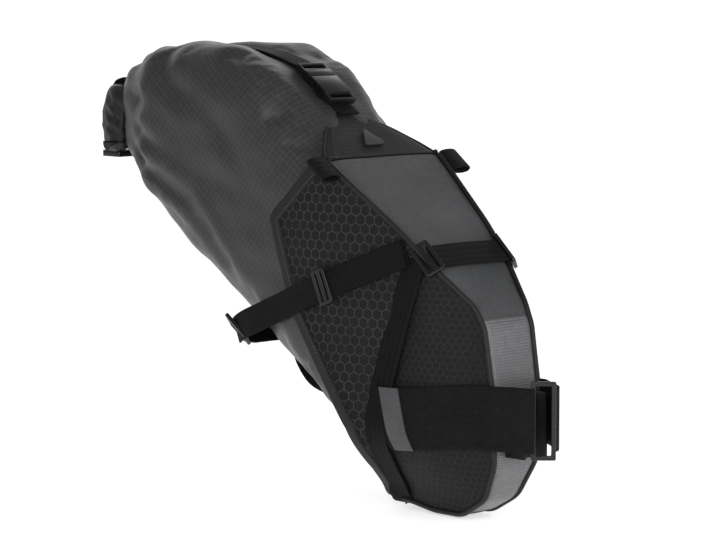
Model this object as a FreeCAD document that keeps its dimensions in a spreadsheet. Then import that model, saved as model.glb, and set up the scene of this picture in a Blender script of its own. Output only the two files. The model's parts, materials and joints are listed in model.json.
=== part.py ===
import FreeCAD, Part
import math
import os
import re
import Sketcher

# Bikepacking seat pack: a wedge-shaped holster that straps to the seatpost, and the roll-top
# dry bag that it carries. Millimetres. The origin is the middle of the seatpost clamp, +Z runs
# up the seatpost, +X points forward and +Y is the rider's left.

V = FreeCAD.Vector

# ---------------------------------------------------------------- driving dimensions
SIZES = [
    ("post_radius", 13.6, "radius of a 27.2 mm seatpost"),
    ("post_wrap", 2.0, "thickness of the wide hook-and-loop strap"),
    ("wrap_width", 56, "width of the wide strap, measured along the seatpost"),
    ("webbing", 25, "width of all the narrow webbing"),
    ("tape", 1.8, "thickness of the narrow webbing"),
    ("shell", 2.7, "thickness of a laminated holster panel"),
    ("gap", 0.4, "clearance between pieces that lie on each other"),
    ("face", 28, "seatpost axis to the holster's front face"),
    ("face_low", 34, "front face: depth of its lower end"),
    ("face_high", 66, "front face: height of its upper end"),
    ("bend_back", 45, "where the front panel turns rearwards"),
    ("bend_up", 100, "height of that turn"),
    ("crest", 118, "setback of the crest of the upper front panel"),
    ("crest_up", 167, "height of that crest"),
    ("top_rise", 0.76, "slope behind the crest, rise over run"),
    ("shoulder", 193, "setback of the flap seam and the webbing loops"),
    ("apex", 243, "setback of the flap's narrow end"),
    ("toe_back", 45, "boot: setback of the toe"),
    ("toe_down", 68, "boot: depth of the toe"),
    ("sole_front", 75, "boot: where the flat sole begins"),
    ("sole_down", 86, "boot: depth of the flat sole"),
    ("sole_back", 110, "boot: where the sole starts to rise"),
    ("heel", 178, "boot: setback of the heel line"),
    ("heel_down", 74, "boot: depth at the heel"),
    ("nose_half", 28.5, "half width at the front face"),
    ("waist", 90, "setback of the waist"),
    ("waist_half", 50, "half width at the waist"),
    ("shoulder_half", 72, "half width at the shoulder"),
    ("bag_half", 76, "half width of the dry bag's part of the outline"),
    ("tail", 527, "setback of the dry bag's neck"),
    ("belly_round", 24, "rounding of the dry bag's lower edges"),
    ("keel_half", 20, "half width of the sole"),
    ("keel_run", 70, "width that each side gains above the sole"),
    ("keel_rise", 65, "height over which it gains that width"),
    ("strap_slope", 0.41, "fall of the side strap, over run"),
    ("strap_start", 95, "setback of the side strap's front end"),
    ("strap_high", 152, "height of the side strap's front end"),
    ("belly_back", 158, "a point of the belly line: setback"),
    ("belly_down", 52, "a point of the belly line: depth"),
    ("belly_rise", 0.6946, "slope of the belly line, rise over run"),
    ("slide_tilt", 35.5, "direction in which the dry bag leaves, degrees above level"),
    ("buckle_width", 32, "side-release buckle: width"),
    ("buckle_thick", 9, "side-release buckle: thickness"),
    ("ring_wall", 4, "strap ring: thickness of its bars"),
    ("roll_deep", 34, "rolled mouth: depth, front to back"),
    ("roll_tall", 66, "rolled mouth: height"),
    ("roll_half", 52, "rolled mouth: half length"),
    ("reach", 130, "half length of every construction prism"),
]

document = FreeCAD.newDocument("SeatPack")
sheet = document.addObject("Spreadsheet::Sheet", "Sizes")
for row, (alias, value, meaning) in enumerate(SIZES, start=1):
    sheet.set(f"A{row}", meaning)
    sheet.set(f"B{row}", str(value))
    sheet.setAlias(f"B{row}", alias)
document.recompute()

ALIAS_WORDS = re.compile(r"\b(" + "|".join(alias for alias, _, _ in SIZES) + r")\b")
UPRIGHT = FreeCAD.Placement(V(0, 0, 0), FreeCAD.Rotation(V(1, 0, 0), 90))
LEVEL = FreeCAD.Placement(V(0, 0, -200), FreeCAD.Rotation())
FACING = FreeCAD.Placement(V(0, 0, 0), FreeCAD.Rotation(V(1, 1, 1), 120))
NODES = []


def bound(rule):
    """The rule, with each sheet alias written as the document's expressions need it."""
    return ALIAS_WORDS.sub(r"Sizes.\1", str(rule))


def number(rule):
    """The rule's value now."""
    value = sheet.evalExpression(bound(rule))
    return float(getattr(value, "Value", value))


def bind(item, name, rule):
    """Ties one property to a rule over the sheet."""
    item.setExpression(name, bound(rule))


def node(label, item):
    """Registers an object as a finished piece, with the label that names its file."""
    item.Label = label
    NODES.append(item)
    return item


# ---------------------------------------------------------------- shared construction
def add_loop(sketch, corners):
    """Adds a closed loop of straight edges whose corners are rules over the sheet."""
    first = sketch.GeometryCount
    spots = [V(number(across), number(up), 0) for across, up in corners]
    for start, end in zip(spots, spots[1:] + spots[:1]):
        sketch.addGeometry(Part.LineSegment(start, end))
    for step in range(len(spots)):
        following = first + (step + 1) % len(spots)
        sketch.addConstraint(Sketcher.Constraint("Coincident", first + step, 2, following, 1))
    for step, (across, up) in enumerate(corners):
        for kind, rule in (("DistanceX", across), ("DistanceY", up)):
            constraint = Sketcher.Constraint(kind, -1, 1, first + step, 1, number(rule))
            index = sketch.addConstraint(constraint)
            sketch.setExpression(f"Constraints[{index}]", bound(rule))


def outline(name, corners, plane):
    """A sketch on the plane with one closed loop."""
    sketch = document.addObject("Sketcher::SketchObject", name)
    sketch.Placement = plane
    add_loop(sketch, corners)
    return sketch


def prism(name, base, forward="reach", back="reach"):
    """A solid swept both ways along the normal of a sketch."""
    solid = document.addObject("Part::Extrusion", name)
    solid.Base = base
    solid.DirMode = "Normal"
    solid.Solid = True
    bind(solid, "LengthFwd", forward)
    bind(solid, "LengthRev", back)
    return solid


def inset_outline(name, base, inset):
    """The outline moved inwards by the rule's value, or outwards where it is negative."""
    moved = document.addObject("Part::Offset2D", name)
    moved.Source = base
    moved.Join = "Intersection"
    bind(moved, "Value", f"-({inset})")
    return moved


def cut(name, base, tool):
    """The base without the tool."""
    piece = document.addObject("Part::Cut", name)
    piece.Base = base
    piece.Tool = tool
    return piece


def common(name, *shapes):
    """What all the shapes share."""
    piece = document.addObject("Part::MultiCommon", name)
    piece.Shapes = list(shapes)
    return piece


def fuse(name, *shapes):
    """The shapes joined into one."""
    piece = document.addObject("Part::MultiFuse", name)
    piece.Shapes = list(shapes)
    return piece


def round_edges(name, base, picks):
    """Rounds the edges given as (edge number, radius) pairs."""
    rounded = document.addObject("Part::Fillet", name)
    rounded.Base = base
    rounded.Edges = [(edge, radius, radius) for edge, radius in picks]
    return rounded


def edges_near(base, direction, spots):
    """For each (spot, radius), the edge parallel to direction that passes nearest to the spot."""
    document.recompute()
    picks = []
    for spot, radius in spots:
        best = None
        for index, edge in enumerate(base.Shape.Edges, start=1):
            run = edge.tangentAt(edge.FirstParameter)
            if abs(run.dot(direction)) < 0.999999:
                continue
            offset = edge.Vertexes[0].Point - spot
            distance = (offset - direction * offset.dot(direction)).Length
            if best is None or distance < best[0]:
                best = (distance, index)
        picks.append((best[1], radius))
    return picks


def raised(spot, tilt, height, roll=0.0):
    """A tilted placement, raised from the spot along its own upward normal."""
    angle = math.radians(tilt)
    normal = V(math.sin(angle), 0, math.cos(angle))
    place = spot + normal * height
    return tilted(place.x, place.y, place.z, tilt, roll)


def box(name, size, placement):
    """A box centred on its placement, its three sizes bound to rules over the sheet."""
    solid = document.addObject("Part::Box", name)
    values = [number(rule) for rule in size]
    for side, rule in zip(("Length", "Width", "Height"), size):
        bind(solid, side, rule)
    centre = placement.multVec(V(-values[0] / 2, -values[1] / 2, -values[2] / 2))
    solid.Placement = FreeCAD.Placement(centre, placement.Rotation)
    return solid


def tilted(x, y, z, degrees, roll=0.0):
    """A placement at (x, y, z) whose X axis points rearwards and up by the given angle.

    Its Z axis is the upward normal, and roll then turns it about its own X axis.
    """
    angle = math.radians(degrees)
    along = V(-math.cos(angle), 0, math.sin(angle))
    normal = V(math.sin(angle), 0, math.cos(angle))
    turn = FreeCAD.Rotation(along, normal.cross(along), normal, "ZXY")
    return FreeCAD.Placement(V(x, y, z), turn * FreeCAD.Rotation(V(1, 0, 0), roll))


# The holster's outline from the side. The last two corners close it behind the panels.
side_outline = outline(
    "side_outline",
    [
        ("-face", "-face_low"),
        ("-face", "face_high"),
        ("-bend_back", "bend_up"),
        ("-crest", "crest_up"),
        ("-apex", "crest_up + (apex - crest) * top_rise"),
        ("-apex - 120", "bend_up + 40"),
        ("-heel - 30", "-heel_down + 4"),
        ("-heel", "-heel_down"),
        ("-sole_back", "-sole_down"),
        ("-sole_front", "-sole_down"),
        ("-toe_back", "-toe_down"),
    ],
    UPRIGHT,
)

# The same outline from above, carried on to the tail for the dry bag.
plan_outline = outline(
    "plan_outline",
    [
        ("-face + 12", "nose_half"),
        ("-bend_back", "nose_half + 1"),
        ("-waist", "waist_half"),
        ("-shoulder", "shoulder_half"),
        ("-330", "bag_half"),
        ("-450", "bag_half"),
        ("-tail - 40", "bag_half - 32"),
        ("-tail - 40", "-bag_half + 32"),
        ("-450", "-bag_half"),
        ("-330", "-bag_half"),
        ("-shoulder", "-shoulder_half"),
        ("-waist", "-waist_half"),
        ("-bend_back", "-nose_half - 1"),
        ("-face + 12", "-nose_half"),
    ],
    LEVEL,
)


def side_prism(name, inset):
    """The side outline moved inwards and swept across, with its bends rounded."""
    blank = prism(name + "_blank", inset_outline(name + "_line", side_outline, inset))
    depth = number(inset)
    spots = [
        (V(-number("face"), 0, -number("face_low")), 25 - depth),
        (V(-number("face"), 0, number("face_high")), 35 - depth),
        (V(-number("bend_back"), 0, number("bend_up")), 35 - depth),
        (V(-number("crest"), 0, number("crest_up")), 200 - depth),
        (V(-number("toe_back"), 0, -number("toe_down")), 20 - depth),
        (V(-number("sole_front"), 0, -number("sole_down")), 20 - depth),
        (V(-number("sole_back"), 0, -number("sole_down")), 40 - depth),
    ]
    return round_edges(name, blank, edges_near(blank, V(0, 1, 0), spots))


def plan_prism(name, inset):
    """The plan outline moved inwards and swept upwards, with its bends rounded."""
    line = inset_outline(name + "_line", plan_outline, inset)
    blank = prism(name + "_blank", line, "600", "1")
    depth = number(inset)
    spots = []
    for side in (1, -1):
        spots.append((V(-number("bend_back"), side * number("nose_half"), 0), 60 + depth))
        spots.append((V(-number("waist"), side * number("waist_half"), 0), 80 - depth))
        spots.append((V(-number("shoulder"), side * number("shoulder_half"), 0), 300 - depth))
    return round_edges(name, blank, edges_near(blank, V(0, 0, 1), spots))


# The outline from the front: the boot's sides are drawn in towards its sole.
keel_outline = outline(
    "keel_outline",
    [
        ("-keel_half", "-sole_down - 4"),
        ("keel_half", "-sole_down - 4"),
        ("keel_half + keel_run", "-sole_down - 4 + keel_rise"),
        ("keel_half + keel_run", "500"),
        ("-keel_half - keel_run", "500"),
        ("-keel_half - keel_run", "-sole_down - 4 + keel_rise"),
    ],
    FACING,
)


def across_prism(name, inset):
    """The outlines from above and from the front, moved inwards and combined."""
    keel = prism(name + "_keel", inset_outline(name + "_keel_line", keel_outline, inset), "20", "700")
    return common(name, plan_prism(name + "_plan", inset), keel)


outer = common("outer", side_prism("outer_side", "0.001"), across_prism("outer_across", "0.001"))
inner_side = side_prism("inner_side", "shell")
inner_across = across_prism("inner_across", "shell")


def region(name, corners):
    """A prism across the whole width over an outline seen from the side."""
    return prism(name, outline(name + "_line", corners, UPRIGHT))


def halves(label, item):
    """Splits a mirrored pair of solids into its right and left nodes."""
    for side, word in ((-1, "right"), (1, "left")):
        keep = box(f"{label}_{word}_side", ("900", "300", "900"),
                   FreeCAD.Placement(V(-300, side * 150.0, 100), FreeCAD.Rotation()))
        node(f"{label}_{word}", common(f"{label}_{word}", item, keep))


# ---------------------------------------------------------------- holster panels
front_strip = cut("front_strip", outer, inner_side)
lower_region = region("lower_region", [
    ("10", "-sole_down - 20"), ("10", "bend_up + 12"), ("-60", "bend_up - 21"),
    ("-68", "-60"), ("-68", "-sole_down - 20"),
])
upper_region = region("upper_region", [
    ("10", "bend_up + 12"), ("-60", "bend_up - 21"), ("-shoulder", "200"),
    ("-shoulder", "260"), ("10", "170"),
])
sole_region = region("sole_region", [
    ("-68", "-60"), ("-68", "-sole_down - 20"), ("-heel + 12", "-sole_down - 20"),
    ("-heel + 12", "-60"),
])
node("front_panel_lower", common("front_panel_lower", front_strip, lower_region))
node("front_panel_upper", common("front_panel_upper", front_strip, upper_region))
node("boot_sole", common("boot_sole", front_strip, sole_region))

flap_plan = prism("flap_plan", outline("flap_plan_line", [
    ("-shoulder", "-shoulder_half + 1"), ("-shoulder", "shoulder_half - 1"),
    ("-apex + 2", "20"), ("-apex - 3", "14"), ("-apex - 3", "-14"), ("-apex + 2", "-20"),
], LEVEL), "600", "1")
flap_region = region("flap_region", [
    ("-shoulder", "200"), ("-shoulder", "260"), ("-apex + 0.5", "320"), ("-apex + 0.5", "230"),
])
node("top_flap", common("top_flap", front_strip, flap_plan, flap_region))

side_slabs = cut("side_slabs", common("side_stock", outer, inner_side), inner_across)
SEAM = [("-waist - 7", "135"), ("-128", "30"), ("-142", "-60"), ("-150", "-120")]
front_region = region("front_region", [("20", "-120"), ("20", "200"), ("-waist - 2", "200")] + SEAM)
rear_region = region("rear_region", SEAM[::-1] + [
    ("-waist - 2", "250"), ("-206", "250"), ("-206", "223"), ("-261", "169"), ("-242", "104"),
    ("-229", "78"), ("-190", "20"), ("-172", "-12"), ("-heel + 12", "-52"), ("-heel + 12", "-120"),
])
field_region = region("field_region", SEAM[::-1] + [
    ("-waist - 2", "250"), ("-197", "250"), ("-198", "221"), ("-250", "168"), ("-233", "107"),
    ("-221", "84"), ("-182", "27"), ("-163", "-6"), ("-156", "-52"), ("-156", "-120"),
])
side_rear_stock = common("side_rear_stock", side_slabs, rear_region)
halves("side_front_panel", common("side_front", side_slabs, front_region))
halves("side_rear_panel", common("side_rear", side_rear_stock, field_region))
halves("edge_binding", cut("edge_binding", side_rear_stock, field_region))

# A beaded piping follows the corner between the front panel and each side panel.
bead_side = side_prism("bead_side", "-1.6")
bead_across = across_prism("bead_across", "-1.6")
bead_core_side = side_prism("bead_core_side", "1.6")
bead_core_across = across_prism("bead_core_across", "1.6")
bead = common("bead", bead_side, bead_across)
for step, core in enumerate((bead_core_side, bead_core_across, outer), start=1):
    bead = cut(f"bead_{step}", bead, core)
piping_region = region("piping_region", [
    ("10", "-sole_down - 20"), ("10", "bend_up + 60"), ("-shoulder + 14", "250"),
    ("-shoulder + 14", "200"), ("-60", "bend_up - 21"), ("-68", "-60"),
    ("-68", "-sole_down - 20"),
])
halves("piping", common("piping_run", bead, piping_region))

# A plastic sheet stiffens the boot from inside, behind the lower front panel.
stiffener_stock = common("stiffener_stock", cut("stiffener_ring", inner_side,
                                                side_prism("stiffener_side", "shell + 1")),
                         plan_prism("stiffener_plan", "shell + 3"))
stiffener_region = region("stiffener_region", [
    ("10", "-40"), ("10", "bend_up - 14"), ("-60", "bend_up - 14"), ("-60", "-40"),
])
node("boot_stiffener", common("boot_stiffener", stiffener_stock, stiffener_region))

# ---------------------------------------------------------------- dry bag
BELLY_TILT = math.degrees(math.atan(number("belly_rise")))
bag_outline = outline("bag_outline", [
    ("-face - shell - 1.8", "-face_low + 12"),
    ("-face - shell - 1.8", "face_high - 6"),
    ("-bend_back - 7", "bend_up - 6"),
    ("-apex - 1", "crest_up + (apex - crest) * top_rise - 5"),
    ("-294", "289"),
    ("-345", "311"),
    ("-400", "316"),
    ("-455", "312"),
    ("-505", "297"),
    ("-tail", "281"),
    ("-tail", "214"),
    ("-483", "belly_rise * (483 - belly_back) - belly_down + 6"),
    ("-400", "belly_rise * (400 - belly_back) - belly_down"),
    ("-belly_back - 4", "-belly_down + 3"),
    ("-heel + 38", "-sole_down + 16"),
    ("-sole_back", "-sole_down + 12"),
    ("-sole_front - 6", "-sole_down + 12"),
    ("-toe_back - 12", "-toe_down + 22"),
], UPRIGHT)
bag_side = prism("bag_side", bag_outline)
bag_across = across_prism("bag_across", "shell + gap")
trough_plane = tilted(-number("belly_back"), 0, -number("belly_down"), BELLY_TILT)
trough_plane.Rotation = trough_plane.Rotation * FreeCAD.Rotation(V(1, 1, 1), 120)
trough_blank = prism("trough_blank", outline("trough_line", [
    ("-bag_half + shell", "-1"), ("bag_half - shell", "-1"),
    ("bag_half - shell", "300"), ("-bag_half + shell", "300"),
], trough_plane), "700", "300")
BELLY_RUN = trough_plane.Rotation.multVec(V(0, 0, 1))
trough_corners = [trough_plane.multVec(V(side * number("bag_half - shell"), -1, 0))
                  for side in (-1, 1)]
trough = round_edges("trough", trough_blank, edges_near(
    trough_blank, BELLY_RUN, [(corner, number("belly_round")) for corner in trough_corners]))
node("dry_bag", common("dry_bag", bag_side, bag_across, trough))

# The rolled and stiffened mouth closes the bag's tail.
roll_x = -number("tail") - number("roll_deep") / 2 - 0.01
ROLL_Z = 246.0
roll_blank = box("roll_blank", ("roll_deep", "2 * roll_half", "roll_tall"),
                 FreeCAD.Placement(V(roll_x, 0, ROLL_Z), FreeCAD.Rotation()))
ROLL_ROUND = 15
roll_corners = [
    (V(roll_x + a * number("roll_deep") / 2, 0, ROLL_Z + b * number("roll_tall") / 2), ROLL_ROUND)
    for a in (-1, 1) for b in (-1, 1)
]
node("rolled_mouth", round_edges("rolled_mouth", roll_blank,
                                 edges_near(roll_blank, V(0, 1, 0), roll_corners)))


def webbing_pad(label, length, placement, width="webbing", thickness="tape"):
    """A flat run of webbing, centred on its placement."""
    return node(label, box(label, (length, width, thickness), placement))


# ---------------------------------------------------------------- straps and webbing
def strap_rule(x, side):
    """Height of the side strap's middle line, or an edge of it, at setback x."""
    edge = f"{side} * webbing / 2 * 1.081"
    return f"strap_high - ({x} - strap_start) * strap_slope + {edge}"


strap_region = region("strap_region", [
    ("-104", strap_rule("104", 1)), ("-104", strap_rule("104", -1)),
    ("-302.4", strap_rule("302.4", -1)), ("-326.8", strap_rule("326.8", 1)),
])
strap_outside = plan_prism("strap_outside", "-gap - tape")
strap_inside = plan_prism("strap_inside", "-gap")
strap_skin = cut("strap_skin", strap_outside, strap_inside)
halves("side_strap", common("side_strap", strap_skin, strap_region, bead_core_side))

tail_skin = cut("tail_skin", plan_prism("tail_outside", "-2 * gap - 2 * tape"),
                plan_prism("tail_inside", "-2 * gap - tape"))
strap_tail_region = region("strap_tail_region", [
    ("-112", strap_rule("112", 0.96)), ("-112", strap_rule("112", -0.96)),
    ("-226", strap_rule("226", -0.96)), ("-226", strap_rule("226", 0.96)),
])
halves("strap_tail", common("strap_tail", tail_skin, strap_tail_region, bead_core_side))


def belly_at(x):
    """Height of the belly line at setback x."""
    return number(f"belly_rise * ({x} - belly_back) - belly_down")


def half_width_at(x):
    """Half width of the holster's outline at setback x."""
    probe = Part.makeLine(V(-x, 0, 0), V(-x, 200, 0))
    return probe.common(plan_solid.Shape).BoundBox.YMax


def sides():
    """The two sides of the pack as (word, sign of Y)."""
    return (("right", -1), ("left", 1))


def moulded(label, loops, thickness, placement, corner_round):
    """A flat moulding: one sketch of loops, padded both ways, with its outer corners rounded."""
    body = document.addObject("PartDesign::Body", label)
    sketch = body.newObject("Sketcher::SketchObject", label + "_sketch")
    plane = [item for item in body.Origin.OriginFeatures if item.Role == "XY_Plane"][0]
    sketch.AttachmentSupport = (plane, [""])
    sketch.MapMode = "FlatFace"
    for loop in loops:
        add_loop(sketch, loop)
    pad = body.newObject("PartDesign::Pad", label + "_pad")
    pad.Profile = sketch
    pad.Midplane = True
    bind(pad, "Length", thickness)
    document.recompute()
    corners = [V(number(across), number(up), 0) for across, up in loops[0]]
    names = []
    for index, edge in enumerate(pad.Shape.Edges, start=1):
        run = edge.tangentAt(edge.FirstParameter)
        spot = edge.Vertexes[0].Point
        near = min((V(spot.x, spot.y, 0) - corner).Length for corner in corners)
        if abs(run.z) > 0.999 and near < 0.01:
            names.append(f"Edge{index}")
    rounding = body.newObject("PartDesign::Fillet", label + "_rounding")
    rounding.Base = (pad, names)
    bind(rounding, "Radius", corner_round)
    body.Tip = rounding
    body.Placement = placement
    return node(label, body)


def rectangle(across, up, x=0, y=0):
    """The corners of a rectangle centred on (x, y), as rules."""
    low_x, high_x = f"{x} - ({across}) / 2", f"{x} + ({across}) / 2"
    low_y, high_y = f"{y} - ({up}) / 2", f"{y} + ({up}) / 2"
    return [(low_x, low_y), (high_x, low_y), (high_x, high_y), (low_x, high_y)]


def slider(label, placement, across="webbing + 8", up="18"):
    """A three-bar webbing slider. Its bars lie along its own X axis."""
    slots = [rectangle("webbing + 1.5", f"({up}) / 2 - 5.5", 0, f"{side} * (({up}) / 4 - 0.6)")
             for side in (-1, 1)]
    return moulded(label, [rectangle(across, up)] + slots, "3.4", placement, "2.5")


plan_solid = document.getObject("outer_across_plan")
document.recompute()
PANEL_TILT = math.degrees(math.atan2(number("crest_up - bend_up"), number("crest - bend_back")))

# The strap across the upper front panel, and the slider at each of its ends.
SLIDER_X = 90
panel_z = number(f"bend_up + ({SLIDER_X} - bend_back) * (crest_up - bend_up) / (crest - bend_back)")
panel_spot = V(-SLIDER_X, 0, panel_z)
webbing_pad("rail_strap", "webbing", raised(panel_spot, PANEL_TILT, 2.2), "80")
corner_half = half_width_at(SLIDER_X)
for word, side in sides():
    corner = panel_spot + V(0, side * (corner_half + 4), 0)
    slider(f"panel_slider_{word}", raised(corner, PANEL_TILT, 4.5, side * 45))

# The strap under the belly, and the slider at each of its ends.
BELLY_X = 317
belly_spot = V(-BELLY_X, 0, belly_at(BELLY_X))
webbing_pad("belly_strap", "webbing", raised(belly_spot, BELLY_TILT, -2.9), "108")
for word, side in sides():
    corner = belly_spot + V(0, side * number("bag_half - 8"), 0)
    slider(f"belly_slider_{word}", raised(corner, BELLY_TILT, 5.0, side * -45))

# A webbing band runs from each panel slider down the side seam and under the boot.
band_stock = common("band_stock", side_prism("band_side", "-gap - tape"),
                    across_prism("band_across", "-gap - tape"))
band_core = common("band_core", side_prism("band_core_side", "-gap"),
                   across_prism("band_core_across", "-gap"))
band_region = region("band_region", [
    ("-84.5", "126"), ("-115.5", "30"), ("-129", "-60"), ("-135", "-sole_down - 20"),
    ("-160", "-sole_down - 20"), ("-154", "-60"), ("-141", "26"), ("-110", "126"),
])
node("load_band", common("load_band", cut("band_shell", band_stock, band_core), band_region))


def bow(name, start, end, sag):
    """A slack bow of webbing between two points of the belly, sagging below the line."""
    along = end - start
    down = V(along.z, 0, -along.x).normalize()
    if down.z > 0:
        down = down * -1
    middle = (start + end) / 2 + down * sag
    tape = down * number("tape")
    edges = [
        Part.Arc(start, middle, end).toShape(),
        Part.makeLine(end, end + tape),
        Part.Arc(end + tape, middle + tape, start + tape).toShape(),
        Part.makeLine(start + tape, start),
    ]
    half = number("webbing") / 2
    profile = Part.Face(Part.Wire(edges)).translated(V(0, -half, 0))
    return profile.extrude(V(0, 2 * half, 0))


def below_belly(x, depth):
    """A point under the belly line, at setback x and the given depth."""
    return raised(V(-x, 0, belly_at(x)), BELLY_TILT, -depth).Base


# Lengthwise webbing under the belly, sewn down at three points so that it hangs in two bows.
chain = document.addObject("Part::Feature", "belly_daisy_chain")
chain.Shape = bow("front", below_belly(178, 2.0), below_belly(236, 2.0), 10).fuse(
    bow("rear", below_belly(235.5, 2.0), below_belly(303, 2.0), 15))
node("belly_daisy_chain", chain)

# A loop of webbing is sewn into the seam at each shoulder.
LOOP_X = 184
loop_top = number(f"crest_up + ({LOOP_X} - crest) * top_rise")
LOOP_TILT = math.degrees(math.atan(number("top_rise")))
for word, side in sides():
    centre = V(-LOOP_X, side * (half_width_at(LOOP_X) + 12.5), loop_top)
    seat = raised(centre, LOOP_TILT, -1.5)
    blank = box(f"loop_blank_{word}", ("webbing", "20", "9"), seat)
    axis = seat.Rotation.multVec(V(1, 0, 0))
    rims = [(seat.multVec(V(0, a * 10, b * 4.5)), 4.2) for a in (-1, 1) for b in (-1, 1)]
    rounded = round_edges(f"loop_round_{word}", blank, edges_near(blank, axis, rims))
    hollow = box(f"loop_hollow_{word}", ("webbing + 10", "20 - 2 * tape", "9 - 2 * tape"), seat)
    inner_rims = [(seat.multVec(V(0, a * (10 - number("tape")), b * (4.5 - number("tape")))), 2.4)
                  for a in (-1, 1) for b in (-1, 1)]
    eye = round_edges(f"loop_eye_{word}", hollow, edges_near(hollow, axis, inner_rims))
    node(f"webbing_loop_{word}", cut(f"webbing_loop_{word}", rounded, eye))

# A small rubber badge, a plain rounded triangle, sits near the flap's apex.
BADGE_X = 213
badge_spot = V(-BADGE_X, 0, number(f"crest_up + ({BADGE_X} - crest) * top_rise"))
moulded("flap_badge", [[("-11", "-13.5"), ("11", "0.01"), ("-11", "13.5")]], "2.4",
        raised(badge_spot, LOOP_TILT, 1.6), "2.2")

# Two keepers hold the doubled side straps down, and slide along them.
KEEPER_X = 192
keeper_z = number(strap_rule(str(KEEPER_X), 0))
keeper_yaw = math.atan((half_width_at(KEEPER_X + 10) - half_width_at(KEEPER_X - 10)) / 20)
keeper_drop = math.atan(number("strap_slope"))
KEEPER_AXES = {}
for word, side in sides():
    along = V(-math.cos(keeper_drop) * math.cos(keeper_yaw),
              side * math.cos(keeper_drop) * math.sin(keeper_yaw), -math.sin(keeper_drop))
    outward = V(math.sin(keeper_yaw), side * math.cos(keeper_yaw), 0)
    across = outward.cross(along)
    turn = FreeCAD.Rotation(across, along, outward, "ZXY")
    out = half_width_at(KEEPER_X) + number("2 * gap + 2 * tape + gap") + 1.9
    seat = FreeCAD.Placement(V(-KEEPER_X, side * out, keeper_z), turn)
    KEEPER_AXES[word] = along
    slider(f"keeper_{word}", seat, "webbing + 8", "15")

# ---------------------------------------------------------------- seatpost clamp
post = document.addObject("Part::Cylinder", "post_space")
bind(post, "Radius", "post_radius")
bind(post, "Height", "wrap_width + 60")
post.Placement = FreeCAD.Placement(V(0, 0, -60), FreeCAD.Rotation())
PAD_REACH = 62.0
pad_front = -number("post_radius") * math.cos(math.radians(PAD_REACH))
pad_back = -number("face") + 0.02
pad_block = box("pad_block", (str(pad_front - pad_back), "30", "wrap_width"),
                FreeCAD.Placement(V((pad_front + pad_back) / 2, 0, 0), FreeCAD.Rotation()))
node("seatpost_pad", cut("seatpost_pad", pad_block, post))


def wall(name, start, end, thickness, tall="wrap_width"):
    """An upright strip of strap between two points seen from above."""
    run = end - start
    turn = FreeCAD.Rotation(V(1, 0, 0), run)
    middle = (start + end) / 2
    return box(name, (str(run.Length), thickness, tall), FreeCAD.Placement(middle, turn))


def flank(name, inner_inset, outer_inset, corners, side):
    """Strap that lies along one flank of the boot, between two outlines seen from above."""
    ring = cut(name + "_ring", plan_prism(name + "_outside", outer_inset),
               plan_prism(name + "_inside", inner_inset))
    keep = box(name + "_side", ("400", "200", "300"),
               FreeCAD.Placement(V(-200, side * 102.0, 0), FreeCAD.Rotation()))
    return common(name, ring, region(name + "_region", corners), keep)


# The ring stands before the seatpost, turned to the right; its two upright bars carry the strap.
CLOSE = math.radians(-44)
RING_OUT = 17.5
radial = V(math.cos(CLOSE), math.sin(CLOSE), 0)
tangent = V(-math.sin(CLOSE), math.cos(CLOSE), 0)
near_bar = radial * RING_OUT - tangent * 8
far_bar = radial * RING_OUT + tangent * 9.5
half = "wrap_width / 2"
ring_turn = FreeCAD.Rotation(tangent, V(0, 0, 1), radial, "ZXY")
ring_middle = (near_bar + far_bar) / 2
ring_span = (far_bar - near_bar).Length
moulded("strap_ring", [rectangle(f"{ring_span} + ring_wall", "wrap_width + 4 + 2 * ring_wall"),
                       rectangle(f"{ring_span} - ring_wall", "wrap_width + 4")],
        "ring_wall - 0.6", FreeCAD.Placement(ring_middle, ring_turn), "1.6")

# The sewn layer of the wide strap: along the right flank, then forward to the ring's near bar.
corner_x = -25.0
flank_half = half_width_at(25)
strap_run = (near_bar - V(corner_x, -flank_half - 3, 0)).normalize()
strap_out = V(strap_run.y, -strap_run.x, 0)
base_flank = flank("base_flank", "-1.9", "-3.5", [
    (str(corner_x), half), ("-108", half), ("-102", f"-{half}"), (str(corner_x), f"-{half}")], -1)
base_front = wall("base_front", V(corner_x, -flank_half - 2.7, 0),
                  near_bar - strap_out * 3.5, "1.6")
node("strap_base", fuse("strap_base", base_flank, base_front))

# The closing layer, with its slanted free end, hinges about the same bar.
wrap_flank = flank("wrap_flank", "-4.1", "-6.1", [
    (str(corner_x), half), ("-139", half), ("-127", f"-{half}"), (str(corner_x), f"-{half}")], -1)
wrap_front = wall("wrap_front", V(corner_x, -flank_half - 5.1, 0),
                  near_bar + strap_out * 3.9, "post_wrap")
node("closing_strap", fuse("closing_strap", wrap_flank, wrap_front))
tab_flank = flank("pull_tab", "-6.15", "-7.6", [
    ("-113", f"{half} - 1"), ("-138", f"{half} - 1"), ("-126.6", f"-{half} + 1"),
    ("-103", f"-{half} + 1")], -1)
node("pull_tab", tab_flank)

# The ring's own anchor: round the seatpost, then back along the left flank.
ARC_START, ARC_END = -8.0, 59.1
sector = document.addObject("Part::Cylinder", "tab_outside")
bind(sector, "Radius", "post_radius + tape")
bind(sector, "Height", "wrap_width")
bind(sector, "Angle", str(ARC_END - ARC_START))
sector.Placement = FreeCAD.Placement(V(0, 0, -number(half)), FreeCAD.Rotation(V(0, 0, 1), ARC_START))
arc_end = math.radians(ARC_END)
middle_radius = number("post_radius + tape / 2")
tab_front = wall("tab_front", V(math.cos(arc_end), math.sin(arc_end), 0) * middle_radius,
                 V(corner_x, flank_half + 2.8, 0), "tape")
tab_flank_left = flank("tab_flank", "-1.9", "-3.7", [
    (str(corner_x), half), ("-84", half), ("-84", f"-{half}"), (str(corner_x), f"-{half}")], 1)
node("ring_anchor", fuse("ring_anchor", cut("tab_arc", sector, post), tab_front, tab_flank_left))

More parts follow.
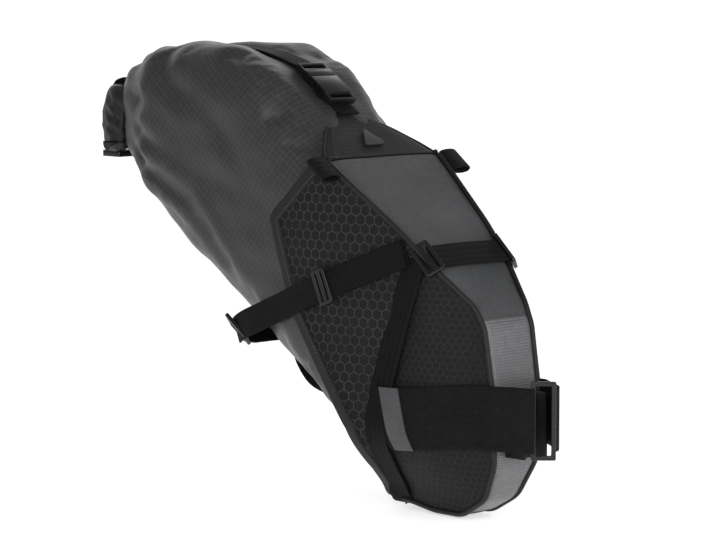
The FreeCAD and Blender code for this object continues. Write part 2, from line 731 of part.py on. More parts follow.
# ---------------------------------------------------------------- tail strap and buckle
BUCKLE = tilted(-273.3, 0, 289.8, number("slide_tilt"))


def buckle_box(name, size, x, y=0.0, z=0.0):
    """A box centred on (x, y, z) of the buckle, whose X axis runs rearwards from its mouth."""
    return box(name, size, BUCKLE.multiply(FreeCAD.Placement(V(x, y, z), FreeCAD.Rotation())))


socket = buckle_box("socket", ("24", "buckle_width", "buckle_thick"), -12)
bar_frame = buckle_box("bar_frame", ("9.5", "buckle_width", "buckle_thick - 3"), -28.25)
hollows = fuse(
    "buckle_hollows",
    buckle_box("socket_space", ("20", "buckle_width - 4.8", "5.2"), -9.5),
    buckle_box("socket_windows", ("10", "buckle_width + 10", "5.2"), -11.5),
    buckle_box("bar_slot", ("5.6", "webbing + 1.5", "20"), -27.6),
)
node("buckle_socket", cut("buckle_socket", fuse("socket_blank", socket, bar_frame), hollows))

plug_blank = fuse(
    "plug_blank",
    buckle_box("plug_body", ("9", "buckle_width", "8"), 5.5),
    buckle_box("plug_ladder", ("12", "buckle_width", "6"), 16),
    buckle_box("plug_tongue", ("17.5", "6", "4"), -7.5),
)
plug_slot = buckle_box("plug_slot", ("5", "webbing + 1.5", "20"), 16)
node("buckle_plug", cut("buckle_plug", plug_blank, plug_slot))
for word, side in sides():
    arm = buckle_box(f"prong_arm_{word}", ("15.2", "3.2", "4"), -7.4, -side * 10.6)
    barb = buckle_box(f"prong_barb_{word}", ("7", "3.4", "4"), -11.3, -side * 13.7)
    node(f"buckle_prong_{word}", fuse(f"buckle_prong_{word}", arm, barb))

flap_webbing_seat = BUCKLE.multiply(FreeCAD.Placement(V(-36.5, 0, -3.95), FreeCAD.Rotation()))
webbing_pad("flap_webbing", "19", flap_webbing_seat)

tail_line = outline("tail_line", [
    ("-292", "298.4"), ("-345", "312.2"), ("-400", "317.2"), ("-455", "313.4"), ("-505", "298.6"),
    ("-tail - 2", "282.4"), ("-tail - roll_deep + 10", "280.6"), ("-tail - roll_deep - 1.4", "270"),
    ("-tail - roll_deep - 1.4", "222"), ("-400", "200"),
], UPRIGHT)
tail_outside = prism("tail_outside_strap", inset_outline("tail_outside_line", tail_line, "-tape"),
                     "webbing / 2", "webbing / 2")
tail_inside = prism("tail_inside_strap", tail_line)
tail_region = region("tail_region", [
    ("-294", "297"), ("-294", "340"), ("-tail - roll_deep - 20", "340"),
    ("-tail - roll_deep - 20", "223"), ("-tail - roll_deep + 4", "223"),
    ("-tail - roll_deep + 4", "262"), ("-500", "290"),
])
node("tail_strap", common("tail_strap", cut("tail_shell", tail_outside, tail_inside), tail_region))

# The rolled mouth's two ends are drawn together under the tail and clipped.
CLIP_X, CLIP_Z = -543.0, 207.6
for word, side in sides():
    seat = FreeCAD.Placement(V(CLIP_X, side * 41.0, CLIP_Z + 2), FreeCAD.Rotation())
    node(f"roll_strap_{word}", box(f"roll_strap_{word}", ("20", "21", "tape"), seat))
    half_clip = FreeCAD.Placement(V(CLIP_X, side * 15.2, CLIP_Z), FreeCAD.Rotation())
    moulded(f"roll_clip_{word}", [rectangle("26", "30"), rectangle("21.5", "5", 0, f"{side} * 10.5")],
            "6", half_clip, "2")

# ---------------------------------------------------------------- check and write
document.recompute()
faults = [f"{item.Name}: {item.State}" for item in document.Objects
          if "Invalid" in item.State or "Error" in item.State]
for item in NODES:
    if item.Shape.isNull() or not item.Shape.isValid() or not item.Shape.Solids:
        faults.append(f"{item.Label}: no valid solid")
if faults:
    raise RuntimeError("; ".join(faults))
os.makedirs("parts", exist_ok=True)
for item in NODES:
    item.Shape.exportStep(f"parts/{item.Label}.step")
    print(item.Label, len(item.Shape.Solids), round(item.Shape.Volume))
for word, along in KEEPER_AXES.items():
    print("keeper axis", word, [round(value, 4) for value in along])
print("closing strap hinge", [round(value, 3) for value in near_bar])
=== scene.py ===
"""Looks of the saddle bag: every visible piece is a parametric surface laid over its CAD node."""

import json
import logging
import math
from dataclasses import dataclass
from enum import Enum
from typing import Callable, Sequence

import bmesh
import bpy
import numpy as np
from mathutils import Euler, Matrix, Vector

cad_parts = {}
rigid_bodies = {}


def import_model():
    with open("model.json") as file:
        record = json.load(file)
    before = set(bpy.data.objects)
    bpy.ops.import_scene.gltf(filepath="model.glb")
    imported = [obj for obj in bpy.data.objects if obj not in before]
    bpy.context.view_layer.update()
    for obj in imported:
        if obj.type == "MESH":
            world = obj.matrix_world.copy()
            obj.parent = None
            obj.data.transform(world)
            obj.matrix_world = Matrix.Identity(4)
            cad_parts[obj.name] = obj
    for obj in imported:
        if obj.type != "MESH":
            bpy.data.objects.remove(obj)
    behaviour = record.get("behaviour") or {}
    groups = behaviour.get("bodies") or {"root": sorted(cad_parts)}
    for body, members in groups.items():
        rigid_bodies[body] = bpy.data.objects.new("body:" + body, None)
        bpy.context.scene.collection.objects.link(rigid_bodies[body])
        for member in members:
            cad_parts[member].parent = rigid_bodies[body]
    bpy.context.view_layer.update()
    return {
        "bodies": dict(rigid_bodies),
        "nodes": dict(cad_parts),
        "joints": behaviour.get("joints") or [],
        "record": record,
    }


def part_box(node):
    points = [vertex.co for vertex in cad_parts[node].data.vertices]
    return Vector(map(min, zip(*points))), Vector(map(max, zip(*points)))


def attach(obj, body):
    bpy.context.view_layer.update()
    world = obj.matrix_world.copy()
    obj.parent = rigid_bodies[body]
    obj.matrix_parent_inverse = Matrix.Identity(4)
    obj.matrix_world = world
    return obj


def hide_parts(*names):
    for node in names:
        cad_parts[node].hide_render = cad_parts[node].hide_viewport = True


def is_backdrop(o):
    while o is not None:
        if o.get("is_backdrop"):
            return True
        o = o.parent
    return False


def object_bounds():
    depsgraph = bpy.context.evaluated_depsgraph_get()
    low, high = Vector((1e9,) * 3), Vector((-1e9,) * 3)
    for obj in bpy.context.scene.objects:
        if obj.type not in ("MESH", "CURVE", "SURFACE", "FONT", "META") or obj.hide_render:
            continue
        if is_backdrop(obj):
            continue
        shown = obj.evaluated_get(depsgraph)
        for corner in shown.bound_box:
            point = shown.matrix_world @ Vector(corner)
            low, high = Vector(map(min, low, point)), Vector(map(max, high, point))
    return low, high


LOG = logging.getLogger("saddle_bag")
MM = 0.001
Array = np.ndarray
FRAME: dict = {}

# ---------------------------------------------------------------- outlines of the bag, in mm
# (x, z) corners of the holster seen from the side, heel to the flap's end, and their radii
SIDE_CORNERS = np.array([
    (-178, -74), (-110, -86), (-75, -86), (-45, -68), (-28, -34), (-28, 24), (-38, 84), (-48, 103),
    (-118, 167), (-243, 262)], float)
SIDE_ROUNDING = (0, 60, 30, 25, 35, 80, 30, 40, 200, 0)
# (x, half width) corners of the pack seen from above, front to tail, and their radii
PLAN_CORNERS = np.array([
    (-16, 29.5), (-45, 30.5), (-90, 50), (-193, 72), (-330, 76), (-450, 76), (-567, 44)], float)
PLAN_ROUNDING = (0, 60, 80, 300, 0, 160, 0)
TAIL_BEND = 0.012  # how much the roll bows: x gained per y squared
RISE = 8.0  # how far the wide strap climbs towards its front
# (x, z) lines on the side: the slanted seam, the rear edge, and the dry bag's top and belly
SEAM = np.array([(-90, 147), (-99, 128), (-112, 84), (-124, 40), (-131, 4), (-140, -46), (-146, -84)], float)
REAR_EDGE = np.array([
    (-166, -76), (-166, -48), (-172, -12), (-190, 20), (-229, 78), (-242, 104), (-261, 167), (-259, 173),
    (-208, 221), (-196, 226)], float)
TOP_LINE = np.array([
    (-60, 90), (-118, 158), (-243, 257), (-294, 294), (-345, 313), (-400, 318), (-455, 314), (-505, 299),
    (-527, 281)], float)
BELLY_LINE = np.array([
    (-60, -60), (-110, -74), (-154, -49), (-400, 116), (-483, 180), (-527, 214)], float)
# (x, z) places along the strap over the dry bag and its roll, buckle to under the roll
TAIL_STRAP = np.array([
    (-262, 275), (-287, 297.5), (-300, 303.5), (-345, 314.5), (-400, 318.5), (-455, 314.5), (-505, 300),
    (-527, 286), (-546, 283), (-556, 279), (-562.4, 267), (-563.4, 246), (-563, 226)], float)
# Folds pressed into the dry bag: start, end, depth and half width of each
FOLDS = (
    ((-492, -64, 232), (-378, -74, 177), 7.0, 8.0),
    ((-378, -74, 177), (-322, -74, 107), 5.0, 9.0),
    ((-486, -60, 276), (-440, -72, 262), 5.0, 8.0),
    ((-464, -70, 248), (-420, -74, 222), 4.0, 7.0),
    ((-430, -66, 300), (-372, -74, 268), 3.5, 10.0),
    ((-350, -74, 262), (-300, -74, 215), 2.5, 12.0),
    ((-480, 20, 310), (-430, -40, 318), 3.0, 9.0),
    ((-500, -20, 302), (-470, -62, 296), 4.5, 7.0),
    ((-492, 64, 232), (-380, 74, 180), 6.0, 8.0),
    ((-470, 66, 270), (-400, 74, 240), 4.0, 9.0),
    ((-440, -50, 145), (-380, -66, 120), 4.0, 8.0),
)
WEBBING = 25.0  # width of the narrow webbing
TAPE = 1.8  # thickness of the narrow webbing
BELLY_SLOPE = 0.6946  # rise of the belly per mm towards the tail
SHOULDER_SLOPE = 0.76  # rise of the shoulder per mm towards the tail
FRONT_SLOPE = 67 / 73  # fall of the upper front panel per mm towards the boot
RING_BAR = np.array([7.03, -17.91, 0])  # axis of the ring's bar that the closing strap folds over
SPLIT = (-40.5, 91)  # (x, z) of the seam across the front panel
FLAP_SEAM = (-193, 224)  # (x, z) of the seam between the front panel and the flap
FLAP_END = (-243, 262)  # (x, z) of the flap's end


class Side(Enum):
    """One side of the pack, with the sign of its Y."""

    RIGHT = -1
    LEFT = 1

    @property
    def word(self) -> str:
        """The word that ends this side's node names."""
        return self.name.lower()


# ---------------------------------------------------------------- curves
def unit(vectors: Array) -> Array:
    """Each vector divided by its own length."""
    return vectors / np.maximum(np.linalg.norm(vectors, axis=-1, keepdims=True), 1e-12)


def resample(points: Array, count: int) -> Array:
    """The polyline's points moved to equal steps of its length.

    Args:
        points: (n, k) corners of the polyline.
        count: How many points to return.

    Returns:
        (count, k) points.
    """
    steps = np.linalg.norm(np.diff(points, axis=0), axis=1)
    run = np.concatenate([[0.0], np.cumsum(steps)])
    places = np.linspace(0, run[-1], count)
    return np.stack([np.interp(places, run, column) for column in points.T], axis=1)


def rounded(corners: Array, radii: Sequence[float], count: int = 400) -> Array:
    """The polyline with each corner replaced by an arc of its radius, tangent to both edges.

    Args:
        corners: (n, 2) corners of the polyline.
        radii: One radius per corner; 0 keeps it sharp.
        count: How many points to return.

    Returns:
        (count, 2) points at equal steps.
    """
    path = [corners[0]]
    for before, corner, after, radius in zip(corners, corners[1:], corners[2:], radii[1:]):
        a, b = unit(before - corner), unit(after - corner)
        half = math.acos(float(np.clip(a @ b, -1, 1))) / 2
        if radius <= 0 or half > 1.56:
            path.append(corner)
            continue
        reach = radius / math.tan(half)
        centre = corner + unit(a + b) * radius / math.sin(half)
        first, last = corner + a * reach - centre, corner + b * reach - centre
        for share in np.linspace(0, 1, 17):
            path.append(centre + unit(first * (1 - share) + last * share) * radius)
    path.append(corners[-1])
    return resample(np.array(path), count)


def smooth_path(points: Array, count: int) -> Array:
    """A Catmull-Rom curve through the points, at equal steps.

    Args:
        points: (n, k) places that the curve passes.
        count: How many points to return.

    Returns:
        (count, k) points.
    """
    ends = np.vstack([2 * points[0] - points[1], points, 2 * points[-1] - points[-2]])
    parts = []
    for p0, p1, p2, p3 in zip(ends, ends[1:], ends[2:], ends[3:]):
        t = np.linspace(0, 1, 24, endpoint=False)[:, None]
        parts.append(0.5 * (2 * p1 + (p2 - p0) * t + (2 * p0 - 5 * p1 + 4 * p2 - p3) * t**2
                            + (3 * p1 - p0 - 3 * p2 + p3) * t**3))
    return resample(np.vstack(parts + [points[-1:]]), count)


def smoothstep(low: float, high: float, value: Array) -> Array:
    """0 below low, 1 above high, and a smooth rise between them."""
    share = np.clip((value - low) / (high - low), 0, 1)
    return share * share * (3 - 2 * share)


def ripple(points: Array, scale: float, seed: int, terms: int = 14) -> Array:
    """Smooth pseudo-random waves of about unit height: a sum of sines in random directions.

    Args:
        points: (..., k) places, in mm.
        scale: Middle wavelength, in mm.
        seed: Seed of the random draws.
        terms: How many sines are added.

    Returns:
        One value per place.
    """
    draw = np.random.default_rng(seed)
    total = np.zeros(points.shape[:-1])
    for _ in range(terms):
        direction = unit(draw.normal(size=points.shape[-1]))
        wave = scale * draw.uniform(0.6, 1.7)
        total += np.sin(points @ direction * 2 * math.pi / wave + draw.uniform(0, 2 * math.pi))
    return total / math.sqrt(terms)


PROFILE = rounded(SIDE_CORNERS, SIDE_ROUNDING, 700)
PLAN = rounded(PLAN_CORNERS, PLAN_ROUNDING, 500)


def half_width(x: Array, z: Array | float = 0.0) -> Array:
    """Half width of the pack at x; the boot narrows towards its sole.

    Args:
        x: Setbacks, negative behind the seatpost.
        z: Heights.

    Returns:
        Half widths, in mm.
    """
    width = np.interp(-np.asarray(x), -PLAN[:, 0], PLAN[:, 1])
    share = smoothstep(-90, -5, np.asarray(z, float))
    return np.minimum(width, 19 + (width - 19) * share)


def profile_distance(points: Array) -> Array:
    """Distance in the side view from each (x, z) to the holster's outline.

    Args:
        points: (..., 2) places as (x, z).

    Returns:
        One distance per place, in mm.
    """
    flat = points.reshape(-1, 2)
    start, run = PROFILE[:-1], np.diff(PROFILE, axis=0)
    best = np.full(len(flat), 1e9)
    for chunk in range(0, len(flat), 4000):
        offset = flat[chunk:chunk + 4000, None, :] - start[None]
        share = np.clip((offset * run).sum(-1) / (run * run).sum(-1), 0, 1)
        best[chunk:chunk + 4000] = np.linalg.norm(offset - share[..., None] * run, axis=-1).min(1)
    return best.reshape(points.shape[:-1])


def profile_between(first: tuple[float, float], last: tuple[float, float], count: int) -> Array:
    """The stretch of the holster's outline between the points nearest to first and last.

    Args:
        first: (x, z) near the start.
        last: (x, z) near the end.
        count: How many points to return.

    Returns:
        (count, 2) points from first to last.
    """
    ends = [int(np.argmin(np.linalg.norm(PROFILE - np.array(spot), axis=1))) for spot in (first, last)]
    low, high = min(ends), max(ends)
    stretch = resample(PROFILE[low:high + 1], count)
    return stretch if ends[0] <= ends[1] else stretch[::-1]


def coons(bottom: Array, top: Array, left: Array, right: Array) -> Array:
    """The patch that blends four boundary curves: bottom and top run with u, left and right with v.

    Args:
        bottom: (rows, 2) edge where v is 0.
        top: (rows, 2) edge where v is 1.
        left: (columns, 2) edge where u is 0.
        right: (columns, 2) edge where u is 1.

    Returns:
        (rows, columns, 2) grid.
    """
    u = np.linspace(0, 1, len(bottom))[:, None, None]
    v = np.linspace(0, 1, len(left))[None, :, None]
    ruled_v = (1 - v) * bottom[:, None] + v * top[:, None]
    ruled_u = (1 - u) * left[None] + u * right[None]
    corners = ((1 - u) * (1 - v) * left[0] + u * (1 - v) * right[0]
               + (1 - u) * v * left[-1] + u * v * right[-1])
    return ruled_v + ruled_u - corners


# ---------------------------------------------------------------- meshes
def mesh_object(name: str, points: Array, faces: list, uv: Array | None = None,
                sharp: float = 40) -> bpy.types.Object:
    """An object at the origin made of the points, in mm, and the faces, its normals outward.

    Args:
        name: The object's name.
        points: (n, 3) places in the row frame, in mm.
        faces: Corner indices of each face.
        uv: (n, 2) lengths along and across the piece, in mm, kept as a UV map in metres.
        sharp: Edges that turn by more than this many degrees are shaded sharp.

    Returns:
        The new object, linked to the scene.
    """
    mesh = bpy.data.meshes.new(name)
    mesh.from_pydata((np.asarray(points) * MM).tolist(), [], faces)
    if uv is not None:
        corners = np.zeros(len(mesh.loops), np.int32)
        mesh.loops.foreach_get("vertex_index", corners)
        layer = mesh.uv_layers.new(name="run")
        layer.data.foreach_set("uv", (np.asarray(uv)[corners] * MM).astype(np.float32).ravel())
    work = bmesh.new()
    work.from_mesh(mesh)
    bmesh.ops.remove_doubles(work, verts=work.verts, dist=1e-6)
    bmesh.ops.recalc_face_normals(work, faces=work.faces)
    work.to_mesh(mesh)
    work.free()
    finish_mesh(mesh, sharp)
    thing = bpy.data.objects.new(name, mesh)
    bpy.context.scene.collection.objects.link(thing)
    LOG.info("%s: %d faces", name, len(mesh.polygons))
    return thing


def read_points(mesh: bpy.types.Mesh, field: str = "co") -> Array:
    """The vertices' places, or their normals, as an (n, 3) array in the mesh's own units.

    Args:
        mesh: The mesh to read.
        field: "co" for places or "normal" for normals.

    Returns:
        (n, 3) values.
    """
    values = np.zeros(len(mesh.vertices) * 3)
    mesh.vertices.foreach_get(field, values)
    return values.reshape(-1, 3)


def write_points(mesh: bpy.types.Mesh, points: Array) -> None:
    """Puts the vertices at new places, in the mesh's own units."""
    mesh.vertices.foreach_set("co", points.ravel())
    mesh.update()


def cad_box(node: str) -> tuple[Array, Array]:
    """The low and high corners of a CAD node's box, in mm."""
    low, high = (np.array(corner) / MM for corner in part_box(node))
    return low, high


def finish_mesh(mesh: bpy.types.Mesh, sharp: float) -> None:
    """Smooth shading, with sharp edges where the surface turns by more than the angle.

    Args:
        mesh: The mesh to shade.
        sharp: The angle, in degrees.
    """
    mesh.polygons.foreach_set("use_smooth", np.ones(len(mesh.polygons), bool))
    mesh.set_sharp_from_angle(angle=math.radians(sharp))
    mesh.update()


def grid_faces(rows: int, columns: int, offset: int = 0, wrap: bool = False) -> list:
    """Quads over a grid of points; wrap joins the last column to the first.

    Args:
        rows: Points along the first direction.
        columns: Points along the second.
        offset: Index of the first point.
        wrap: Whether the last column meets the first.

    Returns:
        Corner indices of each quad.
    """
    last = columns if wrap else columns - 1
    return [(offset + i * columns + j, offset + i * columns + (j + 1) % columns,
             offset + (i + 1) * columns + (j + 1) % columns, offset + (i + 1) * columns + j)
            for i in range(rows - 1) for j in range(last)]


def grid_lengths(grid: Array) -> Array:
    """Lengths along both directions of a grid, measured through its middle.

    Args:
        grid: (rows, columns, 3) places.

    Returns:
        (rows, columns, 2) lengths, in mm.
    """
    rows, columns = grid.shape[:2]
    down = np.linalg.norm(np.diff(grid[:, columns // 2], axis=0), axis=1)
    across = np.linalg.norm(np.diff(grid[rows // 2], axis=0), axis=1)
    u = np.concatenate([[0], np.cumsum(down)])
    v = np.concatenate([[0], np.cumsum(across)])
    return np.stack(np.broadcast_arrays(u[:, None], v[None] - v[-1] / 2), axis=-1)


def slab(name: str, outer: Array, depth: float, inward: Array, sharp: float = 50) -> bpy.types.Object:
    """A closed sheet: the outer grid, a copy moved inwards by depth, and a rim round both.

    Args:
        name: The object's name.
        outer: (rows, columns, 3) grid of the outer surface.
        depth: Thickness of the sheet.
        inward: Unit vectors that point into the bag, one per grid point.
        sharp: Shading angle.

    Returns:
        The object.
    """
    rows, columns = outer.shape[:2]
    inner = outer + inward * depth
    points = np.vstack([outer.reshape(-1, 3), inner.reshape(-1, 3)])
    count = rows * columns
    faces = grid_faces(rows, columns) + [face[::-1] for face in grid_faces(rows, columns, count)]
    rim = ([i * columns for i in range(rows)] + [(rows - 1) * columns + j for j in range(1, columns)]
           + [i * columns + columns - 1 for i in range(rows - 2, -1, -1)] + list(range(columns - 2, 0, -1)))
    for a, b in zip(rim, rim[1:] + rim[:1]):
        faces.append((a, b, b + count, a + count))
    lengths = grid_lengths(outer).reshape(-1, 2)
    return mesh_object(name, points, faces, np.vstack([lengths, lengths]), sharp)


def section_sweep(name: str, centres: Array, across: Array, normal: Array, section: Array,
                  uv_across: Array, sharp: float = 50, slant: Array | float = 0.0) -> bpy.types.Object:
    """A closed bar: the section, given across and along the normal, carried along the centres.

    Args:
        name: The object's name.
        centres: (n, 3) line that the section follows.
        across: (n, 3) directions of its first coordinate.
        normal: (n, 3) directions of its second coordinate.
        section: (k, 2) closed outline.
        uv_across: (k,) lengths round the outline.
        sharp: Shading angle.
        slant: Shift of every point, where an end is cut at a slant.

    Returns:
        The new object.
    """
    rows, columns = len(centres), section.shape[-2]
    points = centres[:, None] + section[..., :1] * across[:, None] + section[..., 1:] * normal[:, None]
    points = points + slant
    faces = grid_faces(rows, columns, wrap=True)
    faces += [tuple(range(columns - 1, -1, -1)), tuple(range((rows - 1) * columns, rows * columns))]
    run = np.concatenate([[0], np.cumsum(np.linalg.norm(np.diff(centres, axis=0), axis=1))])
    uv = np.stack(np.broadcast_arrays(run[:, None], uv_across[None]), axis=-1).reshape(-1, 2)
    return mesh_object(name, points.reshape(-1, 3), faces, uv, sharp)


def ribbon(name: str, path: Array, normal: Array, width: float, thickness: float,
           skew: float = 0.0, across: Array | None = None) -> bpy.types.Object:
    """Flat webbing with softly rounded edges along a path.

    Args:
        name: The object's name.
        path: (n, 3) middle line of the webbing.
        normal: (n, 3) or (3,) outward directions.
        width: Width of the webbing.
        thickness: Its thickness.
        skew: How far the last end is slanted: run gained from one edge to the other.
        across: Direction of the width, where it is fixed.

    Returns:
        The object.
    """
    tangent = unit(np.gradient(path, axis=0))
    normal = unit(np.broadcast_to(np.asarray(normal, float), path.shape))
    side = unit(np.cross(tangent, normal) if across is None else np.broadcast_to(across, path.shape))
    normal = unit(np.cross(side, tangent))
    half, rise = width / 2, thickness / 2
    flat = np.linspace(-1, 1, 13) * (half - rise)
    turn = np.linspace(0, math.pi, 7)[1:-1]
    top = np.stack([flat, np.full(13, rise)], 1)
    right = np.stack([half - rise + rise * np.sin(turn), rise * np.cos(turn)], 1)
    section = np.vstack([top, right, -top, -right])
    room = smoothstep(0.6, 1.0, np.linspace(0, 1, len(path)))
    gained = room[:, None] * skew * section[None, :, 0] / half
    slant = gained[..., None] * tangent[:, None]
    return section_sweep(name, path, side, normal, section, section[:, 0], 60, slant)


def tube(name: str, path: Array, radius: float, sides: int = 12) -> bpy.types.Object:
    """A round cord along a path, its ring of points carried by the path's side and up directions.

    Args:
        name: The object's name.
        path: (n, 3) middle line.
        radius: Radius of the cord.
        sides: Points round the cord.

    Returns:
        The new object.
    """
    tangent = unit(np.gradient(path, axis=0))
    reference = unit(np.cross(tangent, np.array([0.13, 0.97, 0.2])))
    second = unit(np.cross(tangent, reference))
    turn = np.linspace(0, 2 * math.pi, sides, endpoint=False)
    section = np.stack([np.cos(turn), np.sin(turn)], 1) * radius
    return section_sweep(name, path, reference, second, section, turn * radius, 80)


def stitches(name: str, path: Array, normal: Array, pitch: float = 4.2, length: float = 3.0,
             radius: float = 0.38) -> bpy.types.Object:
    """A row of stitches: short spindles at equal steps along a path, sunk a little at their ends.

    Args:
        name: The object's name.
        path: (n, 3) line of the row.
        normal: Outward directions.
        pitch: Step from stitch to stitch.
        length: Length of a stitch.
        radius: Radius of the thread.

    Returns:
        The new object.
    """
    run = np.concatenate([[0], np.cumsum(np.linalg.norm(np.diff(path, axis=0), axis=1))])
    places = np.arange(pitch / 2, run[-1] - length / 2, pitch)
    centre = np.stack([np.interp(places, run, column) for column in path.T], 1)
    normal = np.broadcast_to(np.asarray(normal, float), path.shape)
    rise = unit(np.stack([np.interp(places, run, column) for column in normal.T], 1))
    ahead = np.stack([np.interp(places + 0.5, run, column) for column in path.T], 1)
    along = unit(ahead - centre)
    side = np.cross(along, rise)
    rings, sides = 5, 6
    share = np.linspace(-1, 1, rings)
    turn = np.linspace(0, 2 * math.pi, sides, endpoint=False)
    girth = radius * np.sqrt(np.maximum(1 - share**2 * 0.92, 0.02))
    points, faces = [], []
    for index in range(len(centre)):
        ring = (centre[index] + along[index] * share[:, None, None] * length / 2
                + side[index] * (np.cos(turn)[None, :, None] * girth[:, None, None])
                + rise[index] * (np.sin(turn)[None, :] * girth[:, None]
                                 + radius * 0.5 * (1 - share[:, None]**2))[..., None])
        offset = index * rings * sides
        points.append(ring.reshape(-1, 3))
        faces += grid_faces(rings, sides, offset, wrap=True)
        faces += [tuple(offset + j for j in range(sides - 1, -1, -1)),
                  tuple(offset + (rings - 1) * sides + j for j in range(sides))]
    return mesh_object(name, np.vstack(points), faces, None, 60)


def softened(node: str, name: str, radius: float) -> bpy.types.Object:
    """A copy of a CAD node's mesh with every hard edge rounded to the radius, in mm.

    Args:
        node: The CAD node to copy.
        name: The object's name.
        radius: Radius of the rounding.

    Returns:
        The new object.
    """
    mesh = FRAME["nodes"][node].data.copy()
    mesh.name = name
    mesh.materials.clear()
    work = bmesh.new()
    work.from_mesh(mesh)
    bmesh.ops.remove_doubles(work, verts=work.verts, dist=2e-6)
    bmesh.ops.dissolve_limit(work, angle_limit=math.radians(2), verts=work.verts, edges=work.edges)
    hard = [edge for edge in work.edges
            if len(edge.link_faces) == 2 and edge.calc_face_angle() > math.radians(25)]
    bmesh.ops.bevel(work, geom=hard, offset=radius * MM, offset_type="OFFSET", segments=3, profile=0.5,
                    affect="EDGES", clamp_overlap=True)
    work.to_mesh(mesh)
    work.free()
    finish_mesh(mesh, 32)
    thing = bpy.data.objects.new(name, mesh)
    bpy.context.scene.collection.objects.link(thing)
    return thing


# ---------------------------------------------------------------- finishes
class Pattern(Enum):
    """The small-scale relief of a material."""

    WEAVE = "weave"
    HONEYCOMB = "honeycomb"
    RIBS = "ribs"
    DOTS = "dots"
    RIPSTOP = "ripstop"
    WEBBING = "webbing"
    PLASTIC = "plastic"


class Graph:
    """Shorthand for adding linked nodes to one node tree."""

    def __init__(self, tree: bpy.types.NodeTree) -> None:
        self.tree = tree

    def node(self, kind: str, values: dict | None = None, **settings: object) -> bpy.types.Node:
        """Adds a node; each value is a constant or the socket to link.

        Args:
            kind: The node's type.
            values: A constant or a socket for each input.
            settings: The node's own properties.

        Returns:
            The new node.
        """
        made = self.tree.nodes.new(kind)
        for key, setting in settings.items():
            setattr(made, key, setting)
        for key, value in (values or {}).items():
            if isinstance(value, bpy.types.NodeSocket):
                self.tree.links.new(value, made.inputs[key])
            else:
                made.inputs[key].default_value = value
        return made

    def math(self, operation: str, *values: object) -> bpy.types.NodeSocket:
        """The output of one math node."""
        return self.node("ShaderNodeMath", dict(enumerate(values)), operation=operation).outputs[0]

    def noise(self, vector: object, scale: float, detail: float = 3.0) -> bpy.types.NodeSocket:
        """The value of a noise texture."""
        return self.node("ShaderNodeTexNoise", {"Vector": vector, "Scale": scale, "Detail": detail}).outputs[0]


def stripes(graph: Graph, value: object, pitch: float) -> bpy.types.NodeSocket:
    """A 0 to 1 sine wave over the value, in metres."""
    wave = graph.math("SINE", graph.math("MULTIPLY", graph.math("DIVIDE", value, pitch), 2 * math.pi))
    return graph.math("MULTIPLY_ADD", wave, 0.5, 0.5)


def lines(graph: Graph, value: object, pitch: float, width: float) -> bpy.types.NodeSocket:
    """1 on thin lines at each multiple of the pitch, 0 between.

    Args:
        graph: Where the nodes go.
        value: The length that the lines cross, in metres.
        pitch: Their spacing.
        width: Their half width, as a share of the pitch.

    Returns:
        The mask.
    """
    share = graph.math("FRACT", graph.math("DIVIDE", value, pitch))
    away = graph.math("ABSOLUTE", graph.math("SUBTRACT", share, 0.5))
    return graph.math("SUBTRACT", 1.0, graph.node(
        "ShaderNodeMapRange", {0: away, 1: 0.0, 2: width, 3: 0.0, 4: 1.0}).outputs[0])


